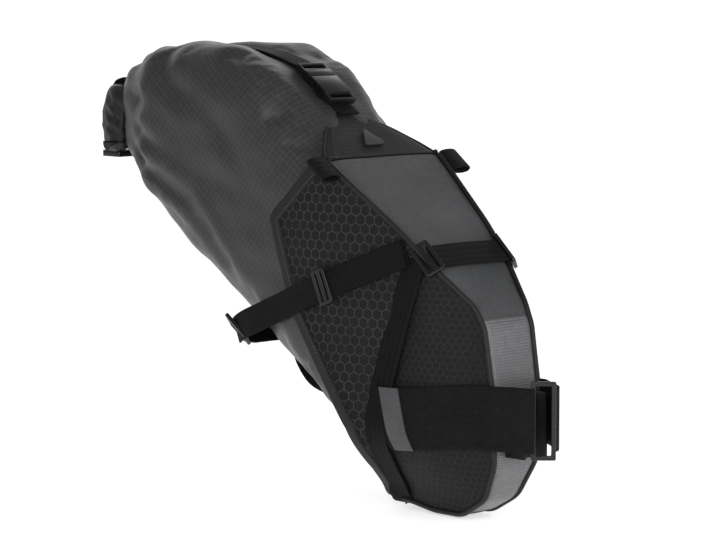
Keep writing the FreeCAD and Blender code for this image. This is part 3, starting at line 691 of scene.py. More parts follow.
def pattern_group(pattern: Pattern) -> bpy.types.NodeTree:
    """The shared node group of a pattern: a vector and a pitch in, a mask and a height out.

    Args:
        pattern: Which relief to build.

    Returns:
        The group, built on the first call.
    """
    name = "pattern_" + pattern.value
    found = bpy.data.node_groups.get(name)
    if found:
        return found
    tree = bpy.data.node_groups.new(name, "ShaderNodeTree")
    tree.interface.new_socket("Vector", in_out="INPUT", socket_type="NodeSocketVector")
    tree.interface.new_socket("Pitch", in_out="INPUT", socket_type="NodeSocketFloat")
    tree.interface.new_socket("Mask", in_out="OUTPUT", socket_type="NodeSocketFloat")
    tree.interface.new_socket("Height", in_out="OUTPUT", socket_type="NodeSocketFloat")
    graph = Graph(tree)
    source = graph.node("NodeGroupInput")
    vector, pitch = source.outputs["Vector"], source.outputs["Pitch"]
    split = graph.node("ShaderNodeSeparateXYZ", {0: vector})
    x, y, z = split.outputs
    if pattern is Pattern.HONEYCOMB:
        mask = honeycomb(graph, graph.math("DIVIDE", x, pitch), graph.math("DIVIDE", z, pitch))
        height = graph.math("ADD", graph.math("MULTIPLY", mask, 0.6), fine_weave(graph, x, z, y))
    elif pattern is Pattern.RIBS:
        mask = stripes(graph, y, 0.0021)
        height = graph.math("ADD", mask, graph.math("MULTIPLY", stripes(graph, x, 0.0016), 0.25))
    elif pattern is Pattern.DOTS:
        both = graph.math("MULTIPLY", stripes(graph, x, 0.0026), stripes(graph, y, 0.0026))
        mask = graph.math("POWER", both, 2.0)
        height = mask
    elif pattern is Pattern.RIPSTOP:
        along = graph.math("ADD", graph.math("MULTIPLY", x, 0.82), graph.math("MULTIPLY", z, -0.57))
        across = graph.math("ADD", graph.math("MULTIPLY", x, 0.57), graph.math("MULTIPLY", z, 0.82))
        facing = graph.node("ShaderNodeTexCoord").outputs["Normal"]
        sideways = graph.math("ABSOLUTE", graph.node("ShaderNodeSeparateXYZ", {0: facing}).outputs[1])
        on_side = graph.math("GREATER_THAN", sideways, 0.6)
        second = graph.node("ShaderNodeMix", {0: on_side, 2: y, 3: across}).outputs[0]
        mask = graph.math("MAXIMUM", lines(graph, along, 0.0052, 0.07), lines(graph, second, 0.0052, 0.07))
        height = graph.math("ADD", graph.math("MULTIPLY", mask, 0.5),
                            graph.math("MULTIPLY", graph.noise(vector, 900.0, 2.0), 0.4))
    elif pattern is Pattern.WEBBING:
        zigzag = graph.math("PINGPONG", y, 0.0031)
        mask = stripes(graph, graph.math("ADD", x, zigzag), pitch)
        height = graph.math("ADD", mask, graph.math("MULTIPLY", stripes(graph, y, 0.00155), 0.5))
    elif pattern is Pattern.PLASTIC:
        mask = graph.noise(vector, 60.0)
        height = graph.noise(vector, 2600.0, 2.0)
    else:
        height = fine_weave(graph, x, z, y)
        mask = graph.noise(vector, 1400.0, 2.0)
    graph.node("NodeGroupOutput", {"Mask": mask, "Height": height})
    return tree


def fine_weave(graph: Graph, x: object, z: object, y: object) -> bpy.types.NodeSocket:
    """Over-and-under threads, half a millimetre apart, seen from the side or from above.

    Args:
        graph: Where the nodes go.
        x: Length along X.
        z: Height.
        y: Length along Y.

    Returns:
        The height of the threads.
    """
    warp = stripes(graph, graph.math("ADD", x, y), 0.0011)
    weft = stripes(graph, graph.math("SUBTRACT", z, y), 0.0011)
    return graph.math("MULTIPLY", warp, weft)


def honeycomb(graph: Graph, x: object, z: object) -> bpy.types.NodeSocket:
    """1 on the outlines of a grid of hexagons whose cells are one unit wide.

    Args:
        graph: Where the nodes go.
        x: First coordinate, in cells.
        z: Second coordinate, in cells.

    Returns:
        The mask.
    """
    tall = math.sqrt(3)

    def cell(shift: float) -> tuple:
        """Offset from the nearest centre of one of the two rectangular lattices."""
        a = graph.math("SUBTRACT", graph.math("FLOORED_MODULO", graph.math("ADD", x, shift), 1.0), 0.5)
        b = graph.math("SUBTRACT", graph.math(
            "FLOORED_MODULO", graph.math("ADD", z, shift * tall), tall), tall / 2)
        reach = graph.math("ADD", graph.math("MULTIPLY", a, a), graph.math("MULTIPLY", b, b))
        a, b = graph.math("ABSOLUTE", a), graph.math("ABSOLUTE", b)
        slant = graph.math("ADD", graph.math("MULTIPLY", a, 0.5), graph.math("MULTIPLY", b, tall / 2))
        return reach, graph.math("MAXIMUM", a, slant)

    near, first = cell(0.0)
    far, second = cell(0.5)
    nearest = graph.math("LESS_THAN", near, far)
    edge = graph.node("ShaderNodeMix", {0: nearest, 2: second, 3: first}).outputs[0]
    return graph.node("ShaderNodeMapRange", {0: edge, 1: 0.445, 2: 0.485, 3: 0.0, 4: 1.0}).outputs[0]


@dataclass(frozen=True)
class Finish:
    """One material: a dark and a light colour mixed by its pattern, with relief and slow wear.

    Attributes:
        slot: The record's material slot.
        base: Main colour.
        light: Colour of the pattern's raised or printed parts.
        rough: Roughness.
        pattern: Its relief.
        pitch: Size of the pattern, in metres.
        depth: Height of the relief, in metres.
        run: True where the pattern follows the piece's own length and width.
        gloss: Strength of the mirror-like part.
    """

    slot: str
    base: tuple[float, float, float]
    light: tuple[float, float, float]
    rough: float
    pattern: Pattern
    pitch: float = 0.0013
    depth: float = 0.0002
    run: bool = False
    gloss: float = 0.22

    def material(self) -> bpy.types.Material:
        """The material, built once.

        Returns:
            The material.
        """
        found = bpy.data.materials.get(self.slot + "_finish")
        if found:
            return found
        made = bpy.data.materials.new(self.slot + "_finish")
        made.use_nodes = True
        made.node_tree.nodes.clear()
        graph = Graph(made.node_tree)
        coordinates = graph.node("ShaderNodeTexCoord").outputs["Object"]
        placed = graph.node("ShaderNodeUVMap", uv_map="run").outputs[0] if self.run else coordinates
        group = graph.node("ShaderNodeGroup", node_tree=pattern_group(self.pattern))
        graph.tree.links.new(placed, group.inputs["Vector"])
        group.inputs["Pitch"].default_value = self.pitch
        cloud = graph.noise(coordinates, 22.0, 5.0)
        mask = graph.math("MULTIPLY", group.outputs["Mask"], graph.node(
            "ShaderNodeMapRange", {0: cloud, 1: 0.3, 2: 0.7, 3: 0.55, 4: 1.0}).outputs[0])
        color = graph.node("ShaderNodeMix", {0: mask, 6: (*self.base, 1), 7: (*self.light, 1)},
                           data_type="RGBA").outputs[2]
        speck = graph.node("ShaderNodeMapRange", {
            0: graph.noise(coordinates, 160.0, 6.0), 1: 0.3, 2: 0.75, 3: 0.86, 4: 1.14})
        worn = graph.node("ShaderNodeMix", {0: 1.0, 6: color, 7: speck.outputs[0]},
                          data_type="RGBA", blend_type="MULTIPLY").outputs[2]
        rough = graph.node("ShaderNodeMapRange", {
            0: cloud, 1: 0.3, 2: 0.7, 3: self.rough - 0.06, 4: self.rough + 0.06}).outputs[0]
        bump = graph.node("ShaderNodeBump", {
            "Height": group.outputs["Height"], "Distance": self.depth, "Strength": 0.9})
        shader = graph.node("ShaderNodeBsdfPrincipled", {
            "Base Color": worn, "Roughness": rough, "Normal": bump.outputs[0]})
        shader.inputs["Specular IOR Level"].default_value = self.gloss
        graph.node("ShaderNodeOutputMaterial", {"Surface": shader.outputs[0]})
        return made


FINISHES = {finish.slot: finish for finish in (
    Finish("coated_fabric", (0.095, 0.096, 0.099), (0.23, 0.232, 0.238), 0.38,
           Pattern.DOTS, depth=0.0005, run=True, gloss=0.5),
    Finish("ribbed_fabric", (0.018, 0.0182, 0.0192), (0.118, 0.12, 0.123), 0.5,
           Pattern.RIBS, depth=0.0005, run=True, gloss=0.3),
    Finish("black_fabric", (0.01, 0.01, 0.0105), (0.02, 0.02, 0.021), 0.6, Pattern.WEAVE),
    Finish("flap_fabric", (0.006, 0.006, 0.0063), (0.017, 0.017, 0.0178), 0.5,
           Pattern.WEAVE, gloss=0.18),
    Finish("side_fabric", (0.006, 0.006, 0.0063), (0.026, 0.026, 0.027), 0.5,
           Pattern.HONEYCOMB, pitch=0.0064, gloss=0.16),
    Finish("honeycomb_fabric", (0.0055, 0.0055, 0.006), (0.05, 0.0505, 0.053), 0.5,
           Pattern.HONEYCOMB, pitch=0.0095, gloss=0.16),
    Finish("binding", (0.006, 0.006, 0.0063), (0.015, 0.015, 0.016), 0.42, Pattern.WEAVE, gloss=0.2),
    Finish("piping", (0.005, 0.005, 0.0053), (0.015, 0.015, 0.016), 0.4, Pattern.WEAVE, gloss=0.25),
    Finish("ripstop", (0.026, 0.0263, 0.0272), (0.054, 0.0547, 0.0565), 0.42,
           Pattern.RIPSTOP, depth=0.0003, gloss=0.35),
    # Darker copy of the ripstop for the rolled mouth: its lower colours are painted shade at the bag's end, not
    # a different fabric
    Finish("mouth_fabric", (0.014, 0.0142, 0.0148), (0.032, 0.0324, 0.0335), 0.5,
           Pattern.RIPSTOP, depth=0.0003, gloss=0.2),
    Finish("webbing", (0.004, 0.004, 0.0043), (0.014, 0.014, 0.0147), 0.6,
           Pattern.WEBBING, depth=0.0006, run=True, gloss=0.08),
    Finish("wide_strap", (0.004, 0.004, 0.0043), (0.018, 0.018, 0.019), 0.7,
           Pattern.WEBBING, pitch=0.0024, depth=0.0009,
           run=True, gloss=0.08),
    Finish("buckle_plastic", (0.004, 0.004, 0.0043), (0.008, 0.008, 0.0084), 0.28,
           Pattern.PLASTIC, depth=0.00003, gloss=0.35),
    Finish("badge_rubber", (0.03, 0.03, 0.031), (0.05, 0.05, 0.052), 0.45,
           Pattern.PLASTIC, depth=0.00005),
    Finish("grip_rubber", (0.008, 0.008, 0.0084), (0.016, 0.016, 0.0168), 0.65,
           Pattern.DOTS, depth=0.0004, gloss=0.15),
    Finish("tab_rubber", (0.05, 0.0505, 0.052), (0.075, 0.0755, 0.078), 0.45,
           Pattern.PLASTIC, depth=0.00006),
    Finish("stiffener", (0.03, 0.03, 0.03), (0.04, 0.04, 0.04), 0.5, Pattern.PLASTIC, depth=0.00003),
    Finish("thread", (0.06, 0.06, 0.062), (0.1, 0.1, 0.103), 0.6, Pattern.WEAVE, depth=0.0001),
)}


def dress(thing: bpy.types.Object, body: str, slot: str, *nodes: str,
          look: str | None = None) -> bpy.types.Object:
    """Gives a piece its material, its body and the CAD nodes that it stands for.

    Args:
        thing: The piece.
        body: The body that it moves with.
        slot: Its material slot.
        nodes: The CAD nodes that it replaces.
        look: The finish, where it isn't the slot's own.

    Returns:
        The same piece.
    """
    thing.data.materials.clear()
    thing.data.materials.append(FINISHES[look or slot].material())
    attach(thing, body)
    if nodes:
        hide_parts(*nodes)
    return thing


def body_of(node: str) -> str:
    """The body that a CAD node belongs to."""
    groups = FRAME["record"]["behaviour"]["bodies"]
    return next(body for body, members in groups.items() if node in members)


def shift(piece: bpy.types.Object, step: tuple[float, float, float]) -> None:
    """Moves a new piece's mesh by a step in millimetres.

    Args:
        piece: The piece, whose mesh is moved.
        step: The step along X, Y and Z.
    """
    write_points(piece.data, read_points(piece.data) + np.array(step) * MM)


# ---------------------------------------------------------------- holster
@dataclass
class Holster:
    """The sewn shell: front panels, boot, flap, side panels, bindings and piping."""

    depth: float = 2.4
    edge: float = 2.6

    def front_grid(self, first: tuple, last: tuple, rows: int, width: Callable | None = None) -> tuple:
        """Grid over the front of the shell between two points of its outline, and its inward field.

        Args:
            first: (x, z) where the grid starts.
            last: (x, z) where it ends.
            rows: How many points along the outline.
            width: Half width at x, where it isn't the pack's.

        Returns:
            The grid and its inward directions.
        """
        path = profile_between(first, last, rows)
        tangent = unit(np.gradient(path, axis=0))
        outward = np.stack([tangent[:, 1], np.zeros(rows), -tangent[:, 0]], 1)
        across = np.linspace(-1, 1, 61)
        across = np.sign(across) * (1 - (1 - np.abs(across)) ** 1.35)
        reach = half_width(path[:, 0], path[:, 1]) - 1.2 if width is None else width(path[:, 0])
        fall = 3.0 * np.abs(across) ** 10 + 0.5 * across**2
        base = np.stack([path[:, 0], np.zeros(rows), path[:, 1]], 1)
        grid = base[:, None] - outward[:, None] * fall[None, :, None]
        grid[..., 1] = reach[:, None] * across[None]
        grid -= outward[:, None] * (ripple(grid, 70, 5) * 0.45 * (1 - across**4))[..., None]
        return grid, np.broadcast_to(-outward[:, None], grid.shape)

    def build(self) -> None:
        """Builds every panel of the shell."""
        for name, first, last, slot in (
            ("front_panel_lower", (-66, -83), SPLIT, "coated_fabric"),
            ("front_panel_upper", SPLIT, (-192, 223), "ribbed_fabric"),
            ("boot_sole", (-166, -76), (-67, -83.5), "black_fabric"),
        ):
            grid, inward = self.front_grid(first, last, 120)
            dress(slab(name + "_cloth", grid, self.depth, inward), "holster", slot, name)
        self.flap()
        for side in Side:
            self.side_panels(side)
            self.piping(side)
            self.binding(side)
        self.seams()
        grid, inward = self.front_grid((-32, -38), (-40, 84), 60, lambda x: np.full(len(x), 26.0))
        plate = slab("boot_stiffener_sheet", grid + inward * (self.depth + 0.6), 1.0, inward)
        dress(plate, "holster", "stiffener", "boot_stiffener")

    def flap(self) -> None:
        """The black flap, from the shoulder seam to its narrow rounded end."""

        def width(x: Array) -> Array:
            """Half width of the flap at x."""
            return np.interp(-x, [190, 193, 206, 222, 236, 242, 245.5], [71, 70.5, 60, 43, 24.5, 18.5, 13.5])

        grid, inward = self.front_grid(FLAP_SEAM, FLAP_END, 70, width)
        grid = grid - inward * 0.4
        dress(slab("flap_cloth", grid, self.depth, inward), "holster", "flap_fabric", "top_flap")
        for column, word in ((0, "right"), (-1, "left")):
            line = grid[:, column] - inward[:, column] * 0.2
            band = tube(f"flap_edge_{word}", resample(line, 80), 1.7)
            dress(band, "holster", "binding")
        inset = grid[:, 8], grid[:, -9]
        for line, word in zip(inset, ("right", "left")):
            path = resample(line, 60) - inward[0, 0] * 0.15
            thread = stitches(f"flap_stitches_{word}", path, -inward[0, 0])
            dress(thread, "holster", "flap_fabric", look="thread")

    def side_surface(self, flat: Array, side: Side, lift: float = 0.0) -> Array:
        """Points of the side of the shell above the (x, z) grid, raised outwards by lift.

        Args:
            flat: (..., 2) places as (x, z).
            side: Which side of the pack.
            lift: How far out to raise them.

        Returns:
            (..., 3) places: the half width, less a rolled edge, plus a slow swell.
        """
        away = profile_distance(flat)
        radius = 7.0
        gap = np.maximum(radius - away, 0)
        roll = radius - np.sqrt(np.maximum(radius**2 - gap**2, 0))
        width = half_width(flat[..., 0], flat[..., 1])
        waves = 0.8 * ripple(flat, 90, 11 + side.value)
        swell = (1.6 * smoothstep(4, 40, away) + waves) * smoothstep(0, 12, away)
        reach = side.value * (width - 0.6 * roll + swell + lift)
        return np.stack([flat[..., 0], reach, flat[..., 1]], -1)

    def inner_profile(self, first: tuple, last: tuple, count: int) -> Array:
        """The outline between two points, moved in to where the side panels begin.

        Args:
            first: (x, z) near the start.
            last: (x, z) near the end.
            count: How many points to return.

        Returns:
            (count, 2) points.
        """
        path = profile_between(first, last, count)
        tangent = unit(np.gradient(path, axis=0))
        outward = np.stack([tangent[:, 1], -tangent[:, 0]], 1)
        facing = path - np.array([-130.0, 60.0])
        outward *= np.sign((outward * facing).sum(-1, keepdims=True))
        return path - outward * self.edge

    def side_panels(self, side: Side) -> None:
        """The front and rear side panels, which meet along the slanted seam.

        Args:
            side: Which side of the pack.
        """
        inward = np.array([0.0, -side.value, 0.0])
        seam = resample(SEAM[::-1], 90)
        top, foot = seam[-1], seam[0]
        rows, columns = 70, 90
        lower = self.inner_profile((-62, -80), tuple(foot), rows)
        upper = self.inner_profile((-45, 100), tuple(top), rows)
        front = self.inner_profile((-62, -80), (-45, 100), columns)
        lower[-1], upper[-1], lower[0], upper[0] = seam[0], seam[-1], front[0], front[-1]
        flat = coons(lower, upper, front, seam)
        panel = slab(f"side_front_{side.word}", self.side_surface(flat, side), self.depth,
                     np.broadcast_to(inward, (*flat.shape[:2], 3)))
        dress(panel, "holster", "side_fabric", f"side_front_panel_{side.word}")
        edge = resample(REAR_EDGE, columns)
        lower = self.inner_profile(tuple(foot), (-166, -76), rows)
        upper = self.inner_profile(tuple(top), (-195, 225), rows)
        lower[0], upper[0], lower[-1], upper[-1] = seam[0], seam[-1], edge[0], edge[-1]
        flat = coons(lower, upper, seam, edge)
        panel = slab(f"side_rear_{side.word}", self.side_surface(flat, side), self.depth,
                     np.broadcast_to(inward, (*flat.shape[:2], 3)))
        dress(panel, "holster", "honeycomb_fabric", f"side_rear_panel_{side.word}")

    def piping(self, side: Side) -> None:
        """The covered cord in the corner seam, from the heel round the boot and up to the shoulder.

        Args:
            side: Which side of the pack.
        """
        path = profile_between((-160, -77), (-192, 223), 420)
        tangent = unit(np.gradient(path, axis=0))
        outward = np.stack([tangent[:, 1], -tangent[:, 0]], 1)
        line = path - outward * 1.6
        width = half_width(line[:, 0], line[:, 1]) - 0.9
        points = np.stack([line[:, 0], side.value * width, line[:, 1]], 1)
        dress(tube(f"piping_cord_{side.word}", points, 2.5), "holster", "piping", f"piping_{side.word}")

    def binding(self, side: Side) -> None:
        """The smooth tape folded over the rear edge of a side panel.

        Args:
            side: Which side of the pack.
        """
        edge = resample(REAR_EDGE, 160)
        tangent = unit(np.gradient(edge, axis=0))
        inward = np.stack([tangent[:, 1], -tangent[:, 0]], 1)
        middle = edge + inward * 5.0
        points = self.side_surface(middle, side, 0.2) + np.array([0, -side.value * 0.9, 0])
        outward = np.array([0.0, side.value, 0.0])
        tape = ribbon(f"binding_tape_{side.word}", resample(points, 160), outward, 11.5, 4.0)
        dress(tape, "holster", "binding", f"edge_binding_{side.word}")
        line = self.side_surface(edge + inward * 8.6, side, 1.35)
        thread = stitches(f"binding_stitches_{side.word}", resample(line, 160), outward, 3.4, 2.4, 0.3)
        dress(thread, "holster", "binding", look="thread")

    def seams(self) -> None:
        """Twin rows of stitches across the front panel and one along the flap's seam."""
        path = profile_between((-166, -76), FLAP_END, 700)
        for index, (spot, offset) in enumerate(((SPLIT, 3.2), (SPLIT, -3.2), (FLAP_SEAM, 3.0))):
            place = int(np.argmin(np.linalg.norm(path - np.array(spot), axis=1)))
            run = unit(path[place + 2] - path[place - 2])
            centre = path[place] + run * offset
            outward = np.array([run[1], 0, -run[0]])
            reach = half_width(centre[0], centre[1]) - 6
            across = np.linspace(-1, 1, 60)
            points = np.stack([np.full(60, centre[0]), across * reach, np.full(60, centre[1])], 1)
            points += outward * (0.1 - 0.5 * across**2)[:, None]
            thread = stitches(f"cross_stitches_{index}", points, outward)
            dress(thread, "holster", "ribbed_fabric", look="thread")


# ---------------------------------------------------------------- dry bag
@dataclass
class DryBag:
    """The roll-top bag: a stuffed body, its rolled mouth and the straps that close it."""

    columns: int = 96
    rows: int = 120

    def section(self, x: float) -> Array:
        """The closed outline of the bag at x, from above round to the right and back.

        Args:
            x: Setback of the section.

        Returns:
            (columns, 3) outline: a superellipse between the top and belly lines.
        """
        top = np.interp(-x, -TOP_LINE[:, 0], TOP_LINE[:, 1])
        foot = np.interp(-x, -BELLY_LINE[:, 0], BELLY_LINE[:, 1])
        turn = np.linspace(0, 2 * math.pi, self.columns, endpoint=False)
        power = np.where(np.cos(turn) > 0, 2 / 4.6, 2 / 2.9)
        across = np.sign(np.sin(turn)) * np.abs(np.sin(turn)) ** power
        rise = np.sign(np.cos(turn)) * np.abs(np.cos(turn)) ** power
        z = (top + foot) / 2 + rise * (top - foot) / 2
        swell = 10 * smoothstep(0.2, 0.75, np.abs(across)) * smoothstep(0.3, 1.0, rise)
        z += swell * smoothstep(215, 290, np.array(-x)) * (1 - smoothstep(330, 430, np.array(-x)))
        reach = half_width(np.full(self.columns, x), z) - 4.2
        across = across * reach
        bend = TAIL_BEND * smoothstep(425, 525, np.array(-x)) * across**2
        return np.stack([x + bend, across, z], 1)

    def body(self) -> bpy.types.Object:
        """The stuffed body as a loft of sections, with closed and rounded ends.

        Returns:
            The body, before the cloth moves.
        """
        stations = -np.concatenate([np.linspace(61, 470, self.rows - 14), np.linspace(474, 526, 14)])
        rings = []
        for x in stations:
            ring = self.section(x)
            middle = ring.mean(0)
            shrink = math.sqrt(max(1 - max(0.0, (-x - 500) / 27) ** 3 * 0.12, 0.2))
            ring[:, 1:] = middle[1:] + (ring[:, 1:] - middle[1:]) * shrink
            rings.append(ring)
        grid = np.array(rings)
        count = len(rings)
        faces = grid_faces(count, self.columns, wrap=True)
        faces += [tuple(range(self.columns - 1, -1, -1)),
                  tuple(range((count - 1) * self.columns, count * self.columns))]
        return mesh_object("dry_bag_cloth", grid.reshape(-1, 3), faces, None, 70)

    def stuff(self, bag: bpy.types.Object) -> None:
        """Lets the cloth swell and crease under pressure, then keeps a small share of the movement.

        Args:
            bag: The body, whose mesh is changed.
        """
        context = bpy.context
        remesh = bag.modifiers.new("voxels", "REMESH")
        remesh.mode = "VOXEL"
        remesh.voxel_size = 0.005
        context.view_layer.objects.active = bag
        bpy.ops.object.modifier_apply(modifier="voxels")
        mesh = bag.data
        rest = read_points(mesh)
        pins = bag.vertex_groups.new(name="pins")
        held = (rest[:, 0] > -0.19) | (rest[:, 0] < -0.522)
        pins.add(np.nonzero(held)[0].tolist(), 1.0, "REPLACE")
        cloth = bag.modifiers.new("cloth", "CLOTH")
        settings = cloth.settings
        settings.quality = 6
        settings.mass = 0.25
        settings.tension_stiffness = 12
        settings.compression_stiffness = 12
        settings.bending_stiffness = 0.4
        settings.use_pressure = True
        settings.uniform_pressure_force = 3.5
        settings.shrink_min = -0.035
        settings.effector_weights.gravity = 0.0
        settings.vertex_group_mass = "pins"
        cloth.point_cache.frame_start = 1
        cloth.point_cache.frame_end = 20
        for moment in range(1, 21):
            context.scene.frame_set(moment)
        shown = bag.evaluated_get(context.evaluated_depsgraph_get())
        moved = read_points(shown.data)
        bag.modifiers.clear()
        context.scene.frame_set(1)
        change = moved - rest
        size = np.linalg.norm(change, axis=1, keepdims=True)
        limit = 0.0045
        change *= np.minimum(1, limit / np.maximum(size, 1e-9))
        write_points(mesh, rest + change)
        LOG.info("cloth moved the dry bag by up to %.1f mm", size.max() / MM)

    def crease(self, bag: bpy.types.Object) -> None:
        """Presses folds and slow dents into the cloth.

        Args:
            bag: The body, whose mesh is changed. Each fold is a Gaussian dent beside a low ridge.
        """
        mesh = bag.data
        points, normals = read_points(mesh) / MM, read_points(mesh, "normal")
        change = 0.9 * ripple(points, 80, 3) + 0.45 * ripple(points, 32, 9)
        for start, end, depth, girth in FOLDS:
            a, b = np.array(start, float), np.array(end, float)
            share = np.clip(((points - a) @ (b - a)) / ((b - a) @ (b - a)), 0, 1)
            offset = points - (a + share[:, None] * (b - a))
            away = np.linalg.norm(offset, axis=1)
            fade = np.sin(np.clip(share, 0.02, 0.98) * math.pi) ** 0.5
            change += fade * (-depth * np.exp(-(away / girth) ** 2)
                              + depth * 0.35 * np.exp(-((away - girth * 1.9) / girth) ** 2))
        free = smoothstep(190, 240, -points[:, 0])
        change = np.clip(change, -9, 2.2) * free
        points = points + normals * change[:, None]
        ceiling = np.interp(-points[:, 0], -TAIL_STRAP[:9, 0], TAIL_STRAP[:9, 1]) - 1.7
        ceiling += 16 * smoothstep(14, 38, np.abs(points[:, 1]))
        above = (points[:, 0] < -255) & (points[:, 0] > -545)
        points[:, 2] = np.where(above, np.minimum(points[:, 2], ceiling), points[:, 2])
        write_points(mesh, points * MM)

    def build(self) -> None:
        """Builds the bag's body, mouth, tail strap and clips."""
        bag = self.body()
        self.stuff(bag)
        self.crease(bag)
        bpy.context.view_layer.objects.active = bag
        bag.modifiers.new("smooth", "SUBSURF").levels = 1
        bpy.ops.object.modifier_apply(modifier="smooth")
        finish_mesh(bag.data, 60)
        dress(bag, "dry_bag_body", "ripstop", "dry_bag")
        # The roll wears the darker copy of the ripstop, whose colours paint the shade at the bag's end
        dress(self.mouth(), "dry_bag_body", "ripstop", "rolled_mouth", look="mouth_fabric")
        self.straps()

    def mouth(self) -> bpy.types.Object:
        """The rolled mouth: a rounded roll along Y whose ends show the layers of the roll.

        Returns:
            The roll.
        """
        low, high = cad_box("rolled_mouth")
        middle, half = (low + high) / 2, (high - low) / 2
        columns, rows = 64, 56
        turn = np.linspace(0, 2 * math.pi, columns, endpoint=False)
        power = 2 / 2.9
        outline = np.stack([np.sign(np.cos(turn)) * np.abs(np.cos(turn)) ** power * half[0],
                            np.sign(np.sin(turn)) * np.abs(np.sin(turn)) ** power * half[2]], 1)
        rings = []
        ends = [0.08, 0.2, 0.33, 0.46, 0.58, 0.7, 0.8, 0.89, 0.96]
        dome = 10.0
        for share in ends:
            rings.append((share, np.full(columns, -half[1] + 1 + dome * (1 - math.sqrt(1 - share**2)))))
        for place in np.linspace(-1, 1, rows):
            pinch = 1 - 0.05 * (1 - place**2) - 0.01 * abs(place) ** 10
            rings.append((pinch, np.full(columns, place * (half[1] - 0.9 * dome))))
        for share in ends[::-1]:
            rings.append((share, np.full(columns, half[1] - 1 - dome * (1 - math.sqrt(1 - share**2)))))
        grid = np.array([np.stack([middle[0] + outline[:, 0] * share, y, middle[2] + outline[:, 1] * share], 1)
                         for share, y in rings])
        grid[..., 0] += TAIL_BEND * grid[..., 1] ** 2
        dent = 0.8 * ripple(grid, 46, 21) + 0.5 * ripple(grid * np.array([1, 0.35, 1]), 16, 4)
        hub = np.stack([middle[0] + TAIL_BEND * grid[..., 1] ** 2, grid[..., 1],
                        np.full(grid.shape[:2], middle[2])], -1)
        spread = unit(grid - hub)
        grid = grid + spread * np.minimum(dent, 0.9)[..., None]
        rise = (grid[..., 2] - middle[2]) / half[2]
        lean = smoothstep(22, 50, np.abs(grid[..., 1]))
        grid[..., 0] += 9 * smoothstep(0.0, 1.0, rise) * lean
        tip = smoothstep(half[1] - 1.6 * dome, half[1] - 0.4 * dome, np.abs(grid[..., 1]))
        folds = np.sin((grid[..., 2] + 0.45 * grid[..., 0]) / 2.1) + ripple(grid, 24, 31)
        grid[..., 1] -= np.sign(grid[..., 1]) * (tip * (1.2 + 1.1 * folds).clip(0, 3))
        faces = grid_faces(len(rings), columns, wrap=True)
        faces += [tuple(range(columns - 1, -1, -1)),
                  tuple(range((len(rings) - 1) * columns, len(rings) * columns))]
        return mesh_object("rolled_mouth_cloth", grid.reshape(-1, 3), faces, None, 50)

    def straps(self) -> None:
        """The tail strap over the top and the roll, and the clipped straps under the tail."""
        flat = smooth_path(TAIL_STRAP[1:], 220)
        path = np.stack([flat[:, 0], np.zeros(len(flat)), flat[:, 1]], 1)
        tangent = unit(np.gradient(path, axis=0))
        outward = np.stack([-tangent[:, 2], tangent[:, 1], tangent[:, 0]], 1)
        strap = ribbon("tail_webbing", path, -outward, WEBBING, TAPE, across=np.array([0, 1.0, 0]))
        dress(strap, "dry_bag_body", "webbing", "tail_strap")
        for side in Side:
            low, high = cad_box(f"roll_strap_{side.word}")
            middle = (low + high) / 2
            y = np.linspace(low[1], high[1], 30)
            line = np.stack([middle[0] + TAIL_BEND * y**2, y, middle[2] + 0.006 * y**2 - 1], 1)
            piece = ribbon(f"roll_webbing_{side.word}", line, (0, 0, -1), high[0] - low[0], TAPE)
            dress(piece, "dry_bag_body", "webbing", f"roll_strap_{side.word}")
            clip = softened(f"roll_clip_{side.word}", f"roll_clip_body_{side.word}", 0.7)
            shift(clip, (1.5, 0, 3.2))
            dress(clip, "dry_bag_body", "buckle_plastic", f"roll_clip_{side.word}")


